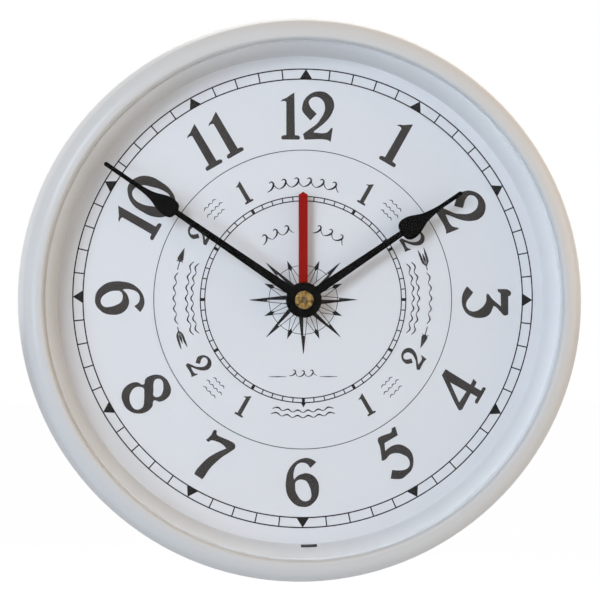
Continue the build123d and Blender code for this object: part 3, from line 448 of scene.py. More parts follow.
lens_mix = lens_nodes.new("ShaderNodeMixShader")
lens_out = lens_nodes["Material Output"]
lens_links.new(lens_path.outputs["Is Shadow Ray"], lens_mix.inputs["Fac"])
lens_links.new(lens_shader.outputs[0], lens_mix.inputs[1])
lens_links.new(lens_clear.outputs[0], lens_mix.inputs[2])
lens_links.new(lens_mix.outputs[0], lens_out.inputs["Surface"])
pane_data.materials.append(lens_finish)
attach(clear_lens, "clock_body")
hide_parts("lens")


# The dial is white paper on a stiff board. Its print is dark brown ink, which lies a few
# hundredths of a millimetre proud, and sits a touch high and right of the arbor.
paper_front = 26.0
ink_depth = 0.03
print_shift = (0.2, 0.55)
paper_white = (0.765, 0.76, 0.772, 1)
ink_brown = (0.052, 0.045, 0.041, 1)
fine_ink_brown = (0.024, 0.021, 0.02, 1)
paper_finish = skin(
    "dial paper",
    paper_white,
    roughness=0.6,
    tone_drift=0.015,
    patch_scale=18,
    grain_scale=1500,
    grain_height=0.008,
)
ink_finish = skin(
    "dial ink",
    ink_brown,
    roughness=0.55,
    specular=0.2,
    tone_drift=0.5,
    patch_scale=300,
    grain_scale=2500,
    grain_height=0.004,
)
fine_ink_finish = skin(
    "dial ink, fine lines",
    fine_ink_brown,
    roughness=0.55,
    specular=0.1,
    tone_drift=0.5,
    patch_scale=300,
    grain_scale=2500,
    grain_height=0.004,
)
finish_node("dial_paper", paper_finish)
finish_node(
    "dial_plate",
    skin("stiff board", (0.7, 0.7, 0.68, 1), roughness=0.65, tone_drift=0.06),
)


def dial_place(angle, radius):
    """Where a clock angle in degrees and a radius in millimetres fall on the dial."""
    turn = math.radians(angle)
    return (radius * math.sin(turn), radius * math.cos(turn))


def set_on_dial(centre, up_angle, size=1.0):
    """Takes a flat drawing in millimetres to its place on the paper, with its top at up_angle."""
    turn = math.radians(up_angle)
    lean = Matrix(
        (
            (math.cos(turn), math.sin(turn), 0, 0),
            (0, 0, -1, 0),
            (-math.sin(turn), math.cos(turn), 0, 0),
            (0, 0, 0, 1),
        )
    )
    place = Matrix.Translation(
        (
            (centre[0] + print_shift[0]) * millimetre,
            -paper_front * millimetre,
            (centre[1] + print_shift[1]) * millimetre,
        )
    )
    return place @ lean @ Matrix.Diagonal(
        (size * millimetre, size * millimetre, millimetre, 1)
    )


def settle(drawing, right, up, turn=0.0, stretch=1.0):
    """Shifts a drawing by millimetres, turns it clockwise and widens it, as the press left it."""
    bmesh.ops.transform(
        drawing,
        matrix=Matrix.Translation((right * millimetre, 0, up * millimetre))
        @ Matrix.Rotation(math.radians(turn), 4, "Y")
        @ Matrix.Diagonal((stretch, 1, 1, 1)),
        verts=drawing.verts,
    )


def printed(name, drawing, ink=ink_finish):
    """Makes one printed piece of the dial out of a drawing that is already in place."""
    data = bpy.data.meshes.new(name)
    drawing.to_mesh(data)
    drawing.free()
    piece = bpy.data.objects.new(name, data)
    bpy.context.scene.collection.objects.link(piece)
    data.materials.append(ink)
    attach(piece, "clock_body")


def ink_loop(drawing, outer, inner, segments=240):
    """A printed circle line: a flat ring with its full thickness."""
    ring = bmesh.new()
    corners = [
        ring.verts.new((radius, 0, height))
        for radius, height in (
            (inner, 0),
            (outer, 0),
            (outer, ink_depth),
            (inner, ink_depth),
        )
    ]
    edges = [
        ring.edges.new((corners[side], corners[(side + 1) % 4])) for side in range(4)
    ]
    bmesh.ops.spin(
        ring,
        geom=corners + edges,
        cent=(0, 0, 0),
        axis=(0, 0, 1),
        angle=2 * math.pi,
        steps=segments,
        use_merge=True,
        use_normal_flip=False,
    )
    bmesh.ops.recalc_face_normals(ring, faces=ring.faces)
    bmesh.ops.transform(ring, matrix=set_on_dial((0, 0), 0), verts=ring.verts)
    add_to(drawing, ring)


def add_to(drawing, part):
    """Puts one finished bit of ink into a larger drawing."""
    held = bpy.data.meshes.new("bit of ink")
    part.to_mesh(held)
    part.free()
    drawing.from_mesh(held)
    bpy.data.meshes.remove(held)


def ink_patch(drawing, corners, place):
    """A printed patch with straight sides, given by its corners in millimetres."""
    patch = bmesh.new()
    face = patch.faces.new([patch.verts.new((x, y, 0)) for x, y in corners])
    grown = bmesh.ops.extrude_face_region(patch, geom=[face])
    raised = [item for item in grown["geom"] if isinstance(item, bmesh.types.BMVert)]
    bmesh.ops.translate(patch, verts=raised, vec=(0, 0, ink_depth))
    bmesh.ops.transform(patch, matrix=place, verts=patch.verts)
    bmesh.ops.recalc_face_normals(patch, faces=patch.faces)
    add_to(drawing, patch)


# minute track: two thin circles, a tick at each minute and a solid triangle at each hour
track_outer = 76.7
track_inner = 73.35
track_line = 0.42
triangle_base = 4.3
track = bmesh.new()
ink_loop(track, track_outer + track_line / 2, track_outer - track_line / 2)
ink_loop(track, track_inner + track_line / 2, track_inner - track_line / 2)
for minute in range(60):
    at = set_on_dial(dial_place(6 * minute, track_inner), 6 * minute)
    if minute % 5:
        half = track_line / 2
        ink_patch(
            track,
            (
                (-half, 0),
                (half, 0),
                (half, track_outer - track_inner),
                (-half, track_outer - track_inner),
            ),
            at,
        )
    else:
        half = triangle_base / 2
        ink_patch(track, ((-half, 0), (half, 0), (0, track_outer - track_inner)), at)
settle(track, 0.45, 0, turn=0.42, stretch=1.0055)
printed("minute_track", track, fine_ink_finish)


# The hour numerals are printed in a bold old-style face with sloped flags and round ends, drawn
# here outline by outline in millimetres. A third number in a point marks a sharp corner. The 9 is
# the 6 turned over.
figures = {
    "1": (
        (
            (1.8, 8.1, 1), (0, 6.9), (-1.0, 6.2), (-2.2, 5.7), (-2.8, 5.0, 1), (-1.6, 5.2),
            (-0.9, 4.9, 1), (-0.9, -6.2, 1), (-2.3, -6.5), (-2.6, -7.1), (-2.3, -7.7, 1),
            (3.4, -7.7, 1), (3.7, -7.1), (3.4, -6.5), (2.0, -6.2, 1),
        ),
    ),
    "2": (
        (
            (-1.0, 3.5), (0.6, 7.2), (5.0, 9.0), (8.6, 7.4), (9.8, 4.5), (9.2, 2.0), (8.0, 0),
            (6.5, -1.6), (4.8, -3.0), (3.0, -4.4, 1), (3.0, -4.8, 1), (7.2, -4.8), (8.0, -4.2),
            (8.7, -3.3, 1), (9.3, -3.2, 1), (8.6, -7.9, 1), (7.5, -7.3), (-0.2, -7.2, 1),
            (-0.7, -5.3, 1), (0.5, -4.4), (2.3, -3.1), (4.0, -1.8), (5.2, -0.2), (6.3, 1.7),
            (6.7, 3.7), (5.7, 6.2), (3.2, 7.1), (1.3, 5.6), (1.4, 4.6), (2.1, 3.3), (3.3, 2.1),
            (3.9, 1.4, 1), (1.8, -0.8, 1), (0.3, 0.8), (-0.8, 2.2),
        ),
    ),
    "3": (
        (
            (-3.9, 7.6), (-2.6, 7.5), (-2.3, 6.8, 1), (3.8, 6.8, 1), (4.2, 6.0), (4.1, 5.3),
            (3.0, 4.2), (1.2, 2.4), (1.0, 1.8, 1), (2.0, 1.4), (3.6, 0.6), (4.6, -0.8),
            (5.0, -3.0), (4.6, -5.5), (3.3, -7.5), (1.5, -8.6), (-0.5, -9.0), (-2.7, -8.8),
            (-4.5, -8.0), (-5.7, -7.2, 1), (-3.6, -5.1, 1), (-2.2, -6.1), (-0.7, -7.2),
            (0.7, -7.5), (2.0, -6.9), (2.7, -5.8), (2.7, -4.3), (1.8, -2.6), (0.5, -1.3),
            (-0.9, -0.7), (-2.5, -0.7, 1), (-3.2, -0.3), (-2.8, 0.3, 1), (-1.5, 1.3), (0, 3.0),
            (1.1, 4.3, 1), (-3.2, 4.2, 1), (-4.0, 3.2, 1), (-4.8, 3.2, 1),
        ),
    ),
    "4": (
        (
            (0.4, 9.1, 1), (2.8, 9.0, 1), (2.5, -1.0, 1), (4.7, -0.8, 1), (4.2, -2.4, 1),
            (2.5, -2.5, 1), (2.5, -5.0, 1), (3.9, -5.2), (4.1, -5.7), (3.9, -6.2, 1),
            (-1.9, -6.2, 1), (-2.1, -5.7), (-1.9, -5.2), (0, -5.0, 1), (0, -2.5, 1),
            (-6.2, -2.7, 1), (-6.9, -2.0), (-6.5, -1.0), (-1.4, 6.5),
        ),
        ((-0.3, 5.4, 1), (-0.2, -0.9, 1), (-4.6, -0.6, 1)),
    ),
    "5": (
        (
            (-3.4, 7.3), (-2.6, 7.5), (-0.4, 7.2), (1.6, 7.0), (2.4, 8.0, 1), (3.7, 7.9, 1),
            (3.0, 4.9, 1), (-2.2, 4.9, 1), (-3.3, 2.5, 1), (-1.4, 2.8), (0.2, 2.7), (2.0, 1.9),
            (3.5, 0), (4.1, -2.0), (3.8, -4.0), (2.6, -6.2), (1.2, -7.5), (-1.2, -8.2),
            (-3.0, -8.4), (-4.8, -7.6), (-6.4, -6.5, 1), (-4.5, -4.2, 1), (-2.2, -5.7),
            (-0.6, -6.3), (1.0, -6.1), (1.9, -5.0), (2.1, -3.3), (1.2, -1.6), (0, -0.3),
            (-1.8, 0.5), (-3.0, 0.5), (-4.0, 0.1), (-5.5, 0), (-5.9, 0.3), (-5.6, 1.0),
            (-4.2, 4.5),
        ),
    ),
    "6": (
        (
            (4.8, 7.0, 1), (3.2, 8.0), (1.5, 8.4), (0, 8.2), (-2.0, 7.3), (-3.6, 5.8),
            (-4.8, 3.8), (-5.4, 1.0), (-5.5, -1.0), (-5.0, -3.8), (-3.8, -5.8), (-2.0, -7.4),
            (0.2, -8.0), (2.2, -7.8), (4.0, -6.5), (5.2, -4.8), (5.7, -2.0), (5.4, 0.2),
            (4.3, 2.0), (3.0, 2.9), (1.4, 3.3), (-0.2, 3.0), (-1.5, 2.4), (-2.7, 1.2, 1),
            (-2.9, 2.2), (-2.7, 4.0), (-2.1, 5.6), (-1.0, 6.6), (0.4, 6.8), (1.6, 6.4),
            (2.8, 5.0, 1),
        ),
        (
            (-2.3, -1.0), (-2.2, 0.2), (-1.3, 1.0), (0.3, 1.1), (1.4, 0.6), (2.4, -1.0),
            (3.0, -3.0), (3.0, -4.8), (2.2, -5.8), (1.0, -6.1), (-0.3, -5.6), (-1.5, -4.1),
            (-2.2, -2.5),
        ),
    ),
    "7": (
        (
            (-3.4, 7.1), (-2.6, 7.0), (-2.2, 6.2), (0, 6.1), (2.5, 6.4), (5.0, 6.1), (5.5, 5.0),
            (5.1, 4.0), (4.2, 2.2), (3.3, 0.5), (2.4, -2.0), (1.6, -5.0), (1.4, -8.0),
            (1.2, -9.3, 1), (-2.0, -9.1, 1), (-2.1, -8.0), (-1.6, -5.0), (-0.8, -2.3), (0.4, 0),
            (1.6, 1.8), (3.0, 3.6, 1), (1.5, 4.1), (-1.5, 3.9), (-2.7, 3.4), (-3.2, 2.5, 1),
            (-4.3, 2.7, 1), (-3.6, 5.0),
        ),
    ),
    "8": (
        (
            (0.5, 8.1), (3.6, 7.1), (4.8, 4.2), (4.4, 2.2), (3.2, 0.9), (4.6, -0.6), (5.2, -3.0),
            (4.2, -6.0), (1.8, -8.0), (-1.0, -8.4), (-4.2, -7.2), (-5.7, -4.2), (-5.0, -1.0),
            (-3.2, 0.6), (-4.4, 1.9), (-4.6, 3.8), (-3.4, 6.6), (-1.6, 7.8),
        ),
        (
            (-1.2, 6.5), (0.5, 6.0), (2.3, 4.6), (2.9, 3.2), (2.4, 1.9), (1.6, 1.6), (0.2, 2.4),
            (-1.8, 3.6), (-2.6, 4.7), (-2.2, 6.0),
        ),
        (
            (-2.0, -0.1), (-3.2, -1.0), (-3.7, -2.5), (-3.0, -4.4), (-1.5, -5.8), (0.8, -6.4),
            (2.6, -5.9), (3.3, -4.5), (3.0, -3.2), (1.4, -1.9), (-0.6, -0.7),
        ),
    ),
    "0": (
        (
            (3.6, 9.1), (7.2, 7.8), (9.4, 4.6), (9.8, 0.4), (9.0, -4.0), (6.6, -7.2),
            (3.8, -8.0), (0.8, -7.0), (-1.4, -3.8), (-2.0, 0.4), (-1.4, 4.8), (0.8, 7.8),
        ),
        (
            (3.2, 6.8), (5.4, 5.4), (6.8, 2.0), (7.6, -2.0), (7.2, -4.6), (5.6, -6.0),
            (3.4, -5.0), (1.4, -1.6), (0.2, 2.2), (0.4, 5.0), (1.6, 6.6),
        ),
    ),
}


def outline_mesh(outlines):
    """Fills one figure's outlines, holes left open, and gives it the thickness of the ink."""
    curve = bpy.data.curves.new("figure", "CURVE")
    curve.dimensions = "2D"
    curve.fill_mode = "BOTH"
    curve.resolution_u = 5
    curve.extrude = ink_depth / 2
    for outline in outlines:
        spline = curve.splines.new("BEZIER")
        spline.bezier_points.add(len(outline) - 1)
        spline.use_cyclic_u = True
        for knot, point in zip(spline.bezier_points, outline):
            knot.co = (point[0], point[1], 0)
            kind = "VECTOR" if len(point) > 2 else "AUTO"
            knot.handle_left_type = kind
            knot.handle_right_type = kind
    drawn = bpy.data.objects.new("figure", curve)
    bpy.context.scene.collection.objects.link(drawn)
    bpy.context.view_layer.update()
    seen = drawn.evaluated_get(bpy.context.evaluated_depsgraph_get())
    data = bpy.data.meshes.new_from_object(seen)
    shape = bmesh.new()
    shape.from_mesh(data)
    bmesh.ops.remove_doubles(shape, verts=shape.verts, dist=0.001)
    bmesh.ops.translate(shape, verts=shape.verts, vec=(0, 0, ink_depth / 2))
    bmesh.ops.recalc_face_normals(shape, faces=shape.faces)
    bpy.data.objects.remove(drawn)
    bpy.data.curves.remove(curve)
    bpy.data.meshes.remove(data)
    return shape


def ink_figure(drawing, outlines, centre, up_angle, size=1.0, shift=(0, 0), turned=False):
    """Prints one figure, moved by shift in its own frame, at its place on the dial."""
    shape = outline_mesh(outlines)
    flip = Matrix.Rotation(math.pi if turned else 0, 4, "Z")
    moved = Matrix.Translation((shift[0], shift[1], 0)) @ flip
    bmesh.ops.transform(
        shape, matrix=set_on_dial(centre, up_angle, size) @ moved, verts=shape.verts
    )
    add_to(drawing, shape)


# each hour: where its middle is, where its top points, and its figures with their shifts
hours = (
    (12, (0.7, 60.3), 0, (("1", -5.4, 0.5), ("2", 0, 0))),
    (1, (31.5, 52.3), 30, (("1", 0, 0),)),
    (2, (54.2, 30.5), 60, (("2", -3.9, -1.7),)),
    (3, (62.6, -1.6), 90, (("3", 0, 0),)),
    (4, (54.5, -30.7), -60, (("4", 0, 0),)),
    (5, (31.8, -51.7), -30, (("5", 0, 0),)),
    (6, (-0.3, -61.8), 0, (("6", 0, 0),)),
    (7, (-30.1, -51.7), 30, (("7", 0, 0),)),
    (8, (-52.1, -31.7), 60, (("8", 0, 0),)),
    (9, (-60.2, -0.2), -90, (("6", 0.4, 1.1),)),
    (10, (-52.1, 30.2), -60, (("1", -6.0, 0.5), ("0", 0, 0))),
    (11, (-30.1, 52.3), -30, (("1", -4.2, 0.1), ("1", 4.0, 0.1))),
)
numerals = bmesh.new()
for hour, centre, up_angle, parts in hours:
    for figure, across, up in parts:
        ink_figure(
            numerals,
            figures[figure],
            centre,
            up_angle,
            shift=(across, up),
            turned=hour == 9,
        )
printed("hour_numerals", numerals)


# The tide ring: a thin band circle, two close circles with a tick for every twelve minutes and a
# dot for every hour, and the small figures that count the hours to high and low water.
band_radius = 50.0
band_line = 0.26
tide_outer = 34.5
tide_inner = 33.0
tide_line = 0.36
dot_width = 1.0
tide_ring = bmesh.new()
ink_loop(tide_ring, band_radius + band_line / 2, band_radius - band_line / 2)
ink_loop(tide_ring, tide_outer + tide_line / 2, tide_outer - tide_line / 2)
ink_loop(tide_ring, tide_inner + tide_line / 2, tide_inner - tide_line / 2)
for step in range(60):
    half = tide_line / 2 if step % 5 else dot_width / 2
    ink_patch(
        tide_ring,
        (
            (-half, 0),
            (half, 0),
            (half, tide_outer - tide_inner),
            (-half, tide_outer - tide_inner),
        ),
        set_on_dial(dial_place(6 * step, tide_inner), 6 * step),
    )
ink_patch(
    tide_ring,
    ((-0.9, 0), (0.9, 0), (0, 1.6)),
    set_on_dial(dial_place(180, tide_outer), 180),
)
settle(tide_ring, 0.15, -0.4)
printed("tide_ring", tide_ring, fine_ink_finish)

small_size = 0.5
small_figures = bmesh.new()
for figure, centre, up_angle in (
    ("1", (-20.0, 35.2), -30),
    ("1", (21.1, 35.2), 30),
    ("1", (-20.0, -35.7), 30),
    ("1", (21.1, -35.7), -30),
    ("2", (-35.1, 20.5), -60),
    ("2", (36.2, 20.5), 60),
    ("2", (-35.4, -21.3), 60),
    ("2", (36.5, -21.3), -60),
):
    ink_figure(
        small_figures,
        figures[figure],
        centre,
        up_angle,
        size=small_size,
        shift=(-3.9 * small_size, -0.8 * small_size) if figure == "2" else (0, 0),
    )
printed("tide_figures", small_figures)


# Marks of the tide, printed in fine pen strokes: a row of curling crests for high water, flat
# ripples for low water and for half tide, and an arrow beside each half tide that shows which way
# the water goes.
def ink_stroke(drawing, points):
    """Prints one pen stroke through points of (across, up, width), all in millimetres."""
    curve = bpy.data.curves.new("stroke", "CURVE")
    curve.dimensions = "3D"
    curve.bevel_depth = 0.5
    curve.bevel_resolution = 0
    curve.resolution_u = 3
    curve.use_fill_caps = True
    spline = curve.splines.new("BEZIER")
    spline.bezier_points.add(len(points) - 1)
    for knot, (across, up, width) in zip(spline.bezier_points, points):
        knot.co = (across, up, 0)
        knot.radius = width
        knot.handle_left_type = "AUTO"
        knot.handle_right_type = "AUTO"
    drawn = bpy.data.objects.new("stroke", curve)
    bpy.context.scene.collection.objects.link(drawn)
    bpy.context.view_layer.update()
    seen = drawn.evaluated_get(bpy.context.evaluated_depsgraph_get())
    data = bpy.data.meshes.new_from_object(seen)
    shape = bmesh.new()
    shape.from_mesh(data)
    bmesh.ops.remove_doubles(shape, verts=shape.verts, dist=0.001)
    for corner in shape.verts:
        corner.co.z = ink_depth if corner.co.z > ink_depth else 0
    bmesh.ops.recalc_face_normals(shape, faces=shape.faces)
    bmesh.ops.transform(shape, matrix=set_on_dial((0, 0), 0), verts=shape.verts)
    add_to(drawing, shape)
    bpy.data.objects.remove(drawn)
    bpy.data.curves.remove(curve)
    bpy.data.meshes.remove(data)


def along_arc(points, middle, radius, inward=False):
    """Bends a drawing round the dial about a clock angle, with its top outward or inward."""
    side = -1 if inward else 1
    return [
        (*dial_place(middle + side * math.degrees(across / radius), radius + side * up), width)
        for across, up, width in points
    ]


crest_pitch = 4.2
crest_up = (
    (0, 0, 0.2),
    (1.3, 0.35, 0.46),
    (2.4, 1.3, 0.66),
    (2.7, 2.4, 0.58),
    (2.1, 3.0, 0.42),
    (1.4, 2.6, 0.22),
)
crest_down = (
    (2.75, 2.3, 0.2),
    (3.15, 1.0, 0.34),
    (4.2, 0, 0.2),
)


def crests(drawing, count, middle, radius, inward=False, scale=1.0):
    """A run of curling wave crests, centred on a clock angle."""
    start = -count * crest_pitch * scale / 2
    base = -1.55 * scale
    for number in range(count):
        for stroke in (crest_up, crest_down):
            placed = [
                (
                    start + (number * crest_pitch + across) * scale,
                    base + up * scale,
                    width * scale,
                )
                for across, up, width in stroke
            ]
            ink_stroke(drawing, along_arc(placed, middle, radius, inward))


def ripple_points(length, pitch, height, up=0.0):
    """The points of one rippled line: thick on its crests and thin in its troughs."""
    count = round(length / pitch)
    points = []
    for half in range(2 * count + 1):
        crest = half % 2
        points.append(
            (
                (half / 2 - count / 2) * pitch,
                up + (height / 2 if crest else -height / 2),
                0.5 if crest else 0.24,
            )
        )
    return points


high_water_radius = 38.9
low_water_radius = 38.7
half_tide_radius = 38.0
ripple_pitch = 3.5
ripple_height = 0.8
ripple_apart = 0.9
tide_marks = bmesh.new()
crests(tide_marks, 6, 0, high_water_radius)
for middle, radius, length, inward in (
    (180, low_water_radius, 21, True),
    (-90, half_tide_radius, 24.5, False),
    (90, half_tide_radius, 24.5, False),
):
    for up in (-ripple_apart, ripple_apart):
        ripple = ripple_points(length, ripple_pitch, ripple_height, up)
        ink_stroke(tide_marks, along_arc(ripple, middle, radius, inward))
printed("tide_marks", tide_marks, fine_ink_finish)

arrow_radius = 43.0
arrow_shaft = 0.32
arrows = bmesh.new()
for side in (-90, 90):
    ink_stroke(
        arrows,
        along_arc(ripple_points(17.5, ripple_pitch, ripple_height), side, arrow_radius),
    )
    for strokes in (
        ((9.6, 0, arrow_shaft), (12.8, 0, arrow_shaft)),
        ((12.2, 0, 0.3), (13.2, 0, 2.1), (14.6, 0, 1.5), (17.2, 0, 0.1)),
        ((12.9, 0.5, 0.5), (12.2, 1.15, 0.1)),
        ((12.9, -0.5, 0.5), (12.2, -1.15, 0.1)),
        ((-9.6, 0, arrow_shaft), (-12.2, 0, arrow_shaft)),
        ((-11.0, 0.1, 0.2), (-12.4, 0.75, 0.8), (-15.2, 0.95, 0.7), (-17.0, 1.1, 0.2)),
        ((-11.0, -0.1, 0.2), (-12.4, -0.75, 0.8), (-15.2, -0.95, 0.7), (-17.0, -1.1, 0.2)),
        ((-12.0, 0, 0.3), (-13.4, 0, 0.9), (-15.4, 0, 0.2)),
    ):
        ink_stroke(arrows, along_arc(strokes, side, arrow_radius))
printed("tide_arrows", arrows)

# four small clusters of three short ripples, between the small figures and the hour numerals
ripple_clusters = bmesh.new()
cluster_radius = 42.0
cluster_line_share = 0.72
for corner in (-45, 45, 135, -135):
    for up, length in ((-2.2, 5.4), (0, 7.2), (2.2, 5.4)):
        line = [
            (across, height, cluster_line_share * width)
            for across, height, width in ripple_points(length, 1.8, 0.5, up)
        ]
        ink_stroke(
            ripple_clusters,
            along_arc(line, corner, cluster_radius, abs(corner) > 90),
        )
printed("ripple_clusters", ripple_clusters, fine_ink_finish)


# The compass rose is the traditional one of sixteen points: each long point has one solid half and
# one in outline, and each short point is an outline with a solid tip outside the circle.
rose_line = 0.2
rose_circle = 11.5
main_point_tip = 18.4
between_point_tip = 17.9
rose = bmesh.new()
ink_loop(rose, rose_circle + rose_line / 2, rose_circle - rose_line / 2, 120)


def ink_line(drawing, start, end, width, place):
    """A thin straight printed line."""
    run = (Vector(end) - Vector(start)).normalized() * width / 2
    across = Vector((-run.y, run.x))
    first, last = Vector(start), Vector(end)
    ink_patch(
        drawing,
        [first - across, last - across, last + across, first + across],
        place,
    )


for step in range(16):
    at = set_on_dial((0, 0), 22.5 * step)
    if step % 2:
        for side in (-1, 1):
            ink_line(rose, (side * 1.7, 7.2), (side * 0.55, rose_circle), rose_line, at)
            ink_line(rose, (side * 1.7, 7.2), (side * 0.3, 4.6), rose_line, at)
        ink_line(rose, (0, 5.2), (0, rose_circle), rose_line, at)
        ink_patch(rose, ((0, 10.2), (0.72, 11.7), (0, 14.2), (-0.72, 11.7)), at)
    else:
        tip = between_point_tip if step % 4 else main_point_tip
        ink_patch(rose, ((0, 2.0), (1.4, 6.4), (0, tip)), at)
        ink_patch(rose, ((-0.52, 12.0), (0, 12.0), (0, tip)), at)
        ink_line(rose, (0, 2.0), (-1.25, 6.4), rose_line, at)
        ink_line(rose, (-1.25, 6.4), (-0.07, tip - 0.6), rose_line, at)
settle(rose, 0.1, -0.5)
printed("compass_rose", rose, fine_ink_finish)

# plain wave ornaments: a short run each side of the tide hand, and a small one below the rose
upper_run_radius = 23.6
lower_run_radius = 25.2
rule_height = -26.2
ornaments = bmesh.new()
for side in (-22.5, 22.5):
    crests(ornaments, 3, side, upper_run_radius, scale=0.93)
crests(ornaments, 3, 180, lower_run_radius, inward=True, scale=0.72)
for start, end in ((-11.5, -5.6), (5.6, 11.5)):
    ink_stroke(
        ornaments,
        [
            (start, rule_height, 0.14),
            ((start + end) / 2, rule_height, 0.34),
            (end, rule_height, 0.14),
        ],
    )
printed("wave_ornaments", ornaments, fine_ink_finish)


# The hands are thin pressed blades in satin lacquer, the tide hand in red and the others in black.
# The hour and tide hands are pinched on turned collets, and the nut holds the minute hand.
black_lacquer = skin(
    "black lacquer",
    (0.0025, 0.0022, 0.002, 1),
    specular=0.04,
    roughness=0.36,
    tone_drift=0.3,
    patch_scale=120,
    grain_scale=1400,
    grain_height=0.006,
)
red_lacquer = skin(
    "red lacquer",
    (0.31, 0.007, 0.004, 1),
    specular=0.06,
    roughness=0.4,
    tone_drift=0.15,
    patch_scale=120,
    grain_scale=1400,
    grain_height=0.006,
)
finish_node("minute_hand", black_lacquer)
finish_node("hour_hand", black_lacquer)
finish_node("tide_hand", red_lacquer)


# The nuts, bushing, dial washer and collets are turned from brass bar: fine tool rings run round
# the axis, and the metal has gone patchy with age. The hand nut's brass is set darker as a painted
# dark reflection. The arbor's steel is given a bronzed brown tone that is a painted reflection of
# brass, and the screws, the crystal's can and the contacts are plated.
def turned_group():
    """Tool rings round the arbor and tarnish in patches."""
    group = bpy.data.node_groups.new("turned metal", "ShaderNodeTree")
    face = group.interface
    for label, tone in (("Clean", (0.6, 0.4, 0.15, 1)), ("Tarnished", (0.2, 0.12, 0.04, 1))):
        socket = face.new_socket(label, in_out="INPUT", socket_type="NodeSocketColor")
        socket.default_value = tone
    for label, value in (("Patch Scale", 900.0), ("Ring Scale", 500.0)):
        socket = face.new_socket(label, in_out="INPUT", socket_type="NodeSocketFloat")
        socket.default_value = value
    face.new_socket("Tone", in_out="OUTPUT", socket_type="NodeSocketColor")
    face.new_socket("Roughness", in_out="OUTPUT", socket_type="NodeSocketFloat")
    face.new_socket("Height", in_out="OUTPUT", socket_type="NodeSocketFloat")
    nodes = group.nodes
    links = group.links
    given = nodes.new("NodeGroupInput")
    result = nodes.new("NodeGroupOutput")
    place = nodes.new("ShaderNodeTexCoord")
    patches = nodes.new("ShaderNodeTexNoise")
    patches.inputs["Detail"].default_value = 4
    rings = nodes.new("ShaderNodeTexWave")
    rings.wave_type = "RINGS"
    rings.rings_direction = "Y"
    rings.inputs["Distortion"].default_value = 0.4
    links.new(place.outputs["Object"], patches.inputs["Vector"])
    links.new(place.outputs["Object"], rings.inputs["Vector"])
    links.new(given.outputs["Patch Scale"], patches.inputs["Scale"])
    links.new(given.outputs["Ring Scale"], rings.inputs["Scale"])
    tarnish = nodes.new("ShaderNodeMapRange")
    tarnish.inputs["From Min"].default_value = 0.38
    tarnish.inputs["From Max"].default_value = 0.62
    links.new(patches.outputs["Fac"], tarnish.inputs["Value"])
    tone = nodes.new("ShaderNodeMix")
    tone.data_type = "RGBA"
    links.new(tarnish.outputs[0], tone.inputs[0])
    links.new(given.outputs["Clean"], tone.inputs[6])
    links.new(given.outputs["Tarnished"], tone.inputs[7])
    links.new(tone.outputs[2], result.inputs["Tone"])
    dull = nodes.new("ShaderNodeMapRange")
    dull.inputs["To Min"].default_value = 0.24
    dull.inputs["To Max"].default_value = 0.5
    links.new(tarnish.outputs[0], dull.inputs["Value"])
    links.new(dull.outputs[0], result.inputs["Roughness"])
    links.new(rings.outputs["Fac"], result.inputs["Height"])
    return group


turned_metal = turned_group()


tool_ring_height = 0.004
tarnish_scale = 900
tool_ring_scale = 500


def turned(name, clean, tarnished):
    """A turned metal finish: the shader with the tool rings and the tarnish on it."""
    finish = bpy.data.materials.new(name)
    finish.use_nodes = True
    nodes = finish.node_tree.nodes
    links = finish.node_tree.links
    shader = nodes["Principled BSDF"]
    metal = nodes.new("ShaderNodeGroup")
    metal.node_tree = turned_metal
    metal.inputs["Clean"].default_value = clean
    metal.inputs["Tarnished"].default_value = tarnished
    metal.inputs["Patch Scale"].default_value = tarnish_scale
    metal.inputs["Ring Scale"].default_value = tool_ring_scale
    relief = nodes.new("ShaderNodeBump")
    relief.inputs["Distance"].default_value = tool_ring_height * millimetre
    links.new(metal.outputs["Tone"], shader.inputs["Base Color"])
    links.new(metal.outputs["Roughness"], shader.inputs["Roughness"])
    links.new(metal.outputs["Height"], relief.inputs["Height"])
    links.new(relief.outputs["Normal"], shader.inputs["Normal"])
    shader.inputs["Metallic"].default_value = 1
    return finish


# painted reflection: the hand nut's brass is darker than the other brass, for the dark room it
# reflects
nut_painted_reflection = turned("aged brass nut with painted dark reflection", (0.52, 0.34, 0.12, 1), (0.12, 0.065, 0.018, 1))
brass_finish = turned("turned brass", (0.66, 0.46, 0.2, 1), (0.34, 0.21, 0.08, 1))
steel_finish = turned("plated steel", (0.6, 0.6, 0.6, 1), (0.36, 0.36, 0.37, 1))
# painted reflection: the arbor's end is given a warm brown tone for the brass shade it reflects
arbor_painted_reflection = turned("steel with painted brass reflection", (0.26, 0.19, 0.1, 1), (0.08, 0.055, 0.03, 1))
finish_node("hand_nut", nut_painted_reflection)
finish_node("minute_arbor", arbor_painted_reflection)
for node in (
    "threaded_bushing",
    "dial_washer",
    "hex_nut",
    "tide_hand_collet",
    "hour_hand_collet",
):
    finish_node(node, brass_finish)
for node in (
    "back_plate_screws",
    "quartz_crystal",
    "positive_contact",
    "negative_contact",
):
    finish_node(node, steel_finish)


# The back plate is moulded in a matt white with a fine spark grain, duller than the case, and is
# held by four screws.
back_finish = skin(
    "matt white moulding",
    (0.74, 0.74, 0.715, 1),
    roughness=0.55,
    tone_drift=0.03,
    grain_scale=1800,
    grain_height=0.03,
)
finish_node("back_plate", back_finish)


# The movement's case and rear cover are black plastic with a coarse spark grain, and the sealed
# chip is a drop of black resin.
black_grain = skin(
    "grained black plastic",
    (0.022, 0.022, 0.024, 1),
    roughness=0.5,
    tone_drift=0.2,
    grain_scale=2200,
    grain_height=0.05,
)
chip_finish = skin("black resin", (0.012, 0.012, 0.013, 1), roughness=0.22, tone_drift=0.2)
finish_node("movement_housing", black_grain)
finish_node("movement_rear_cover", black_grain)
finish_node("clock_chip", chip_finish)


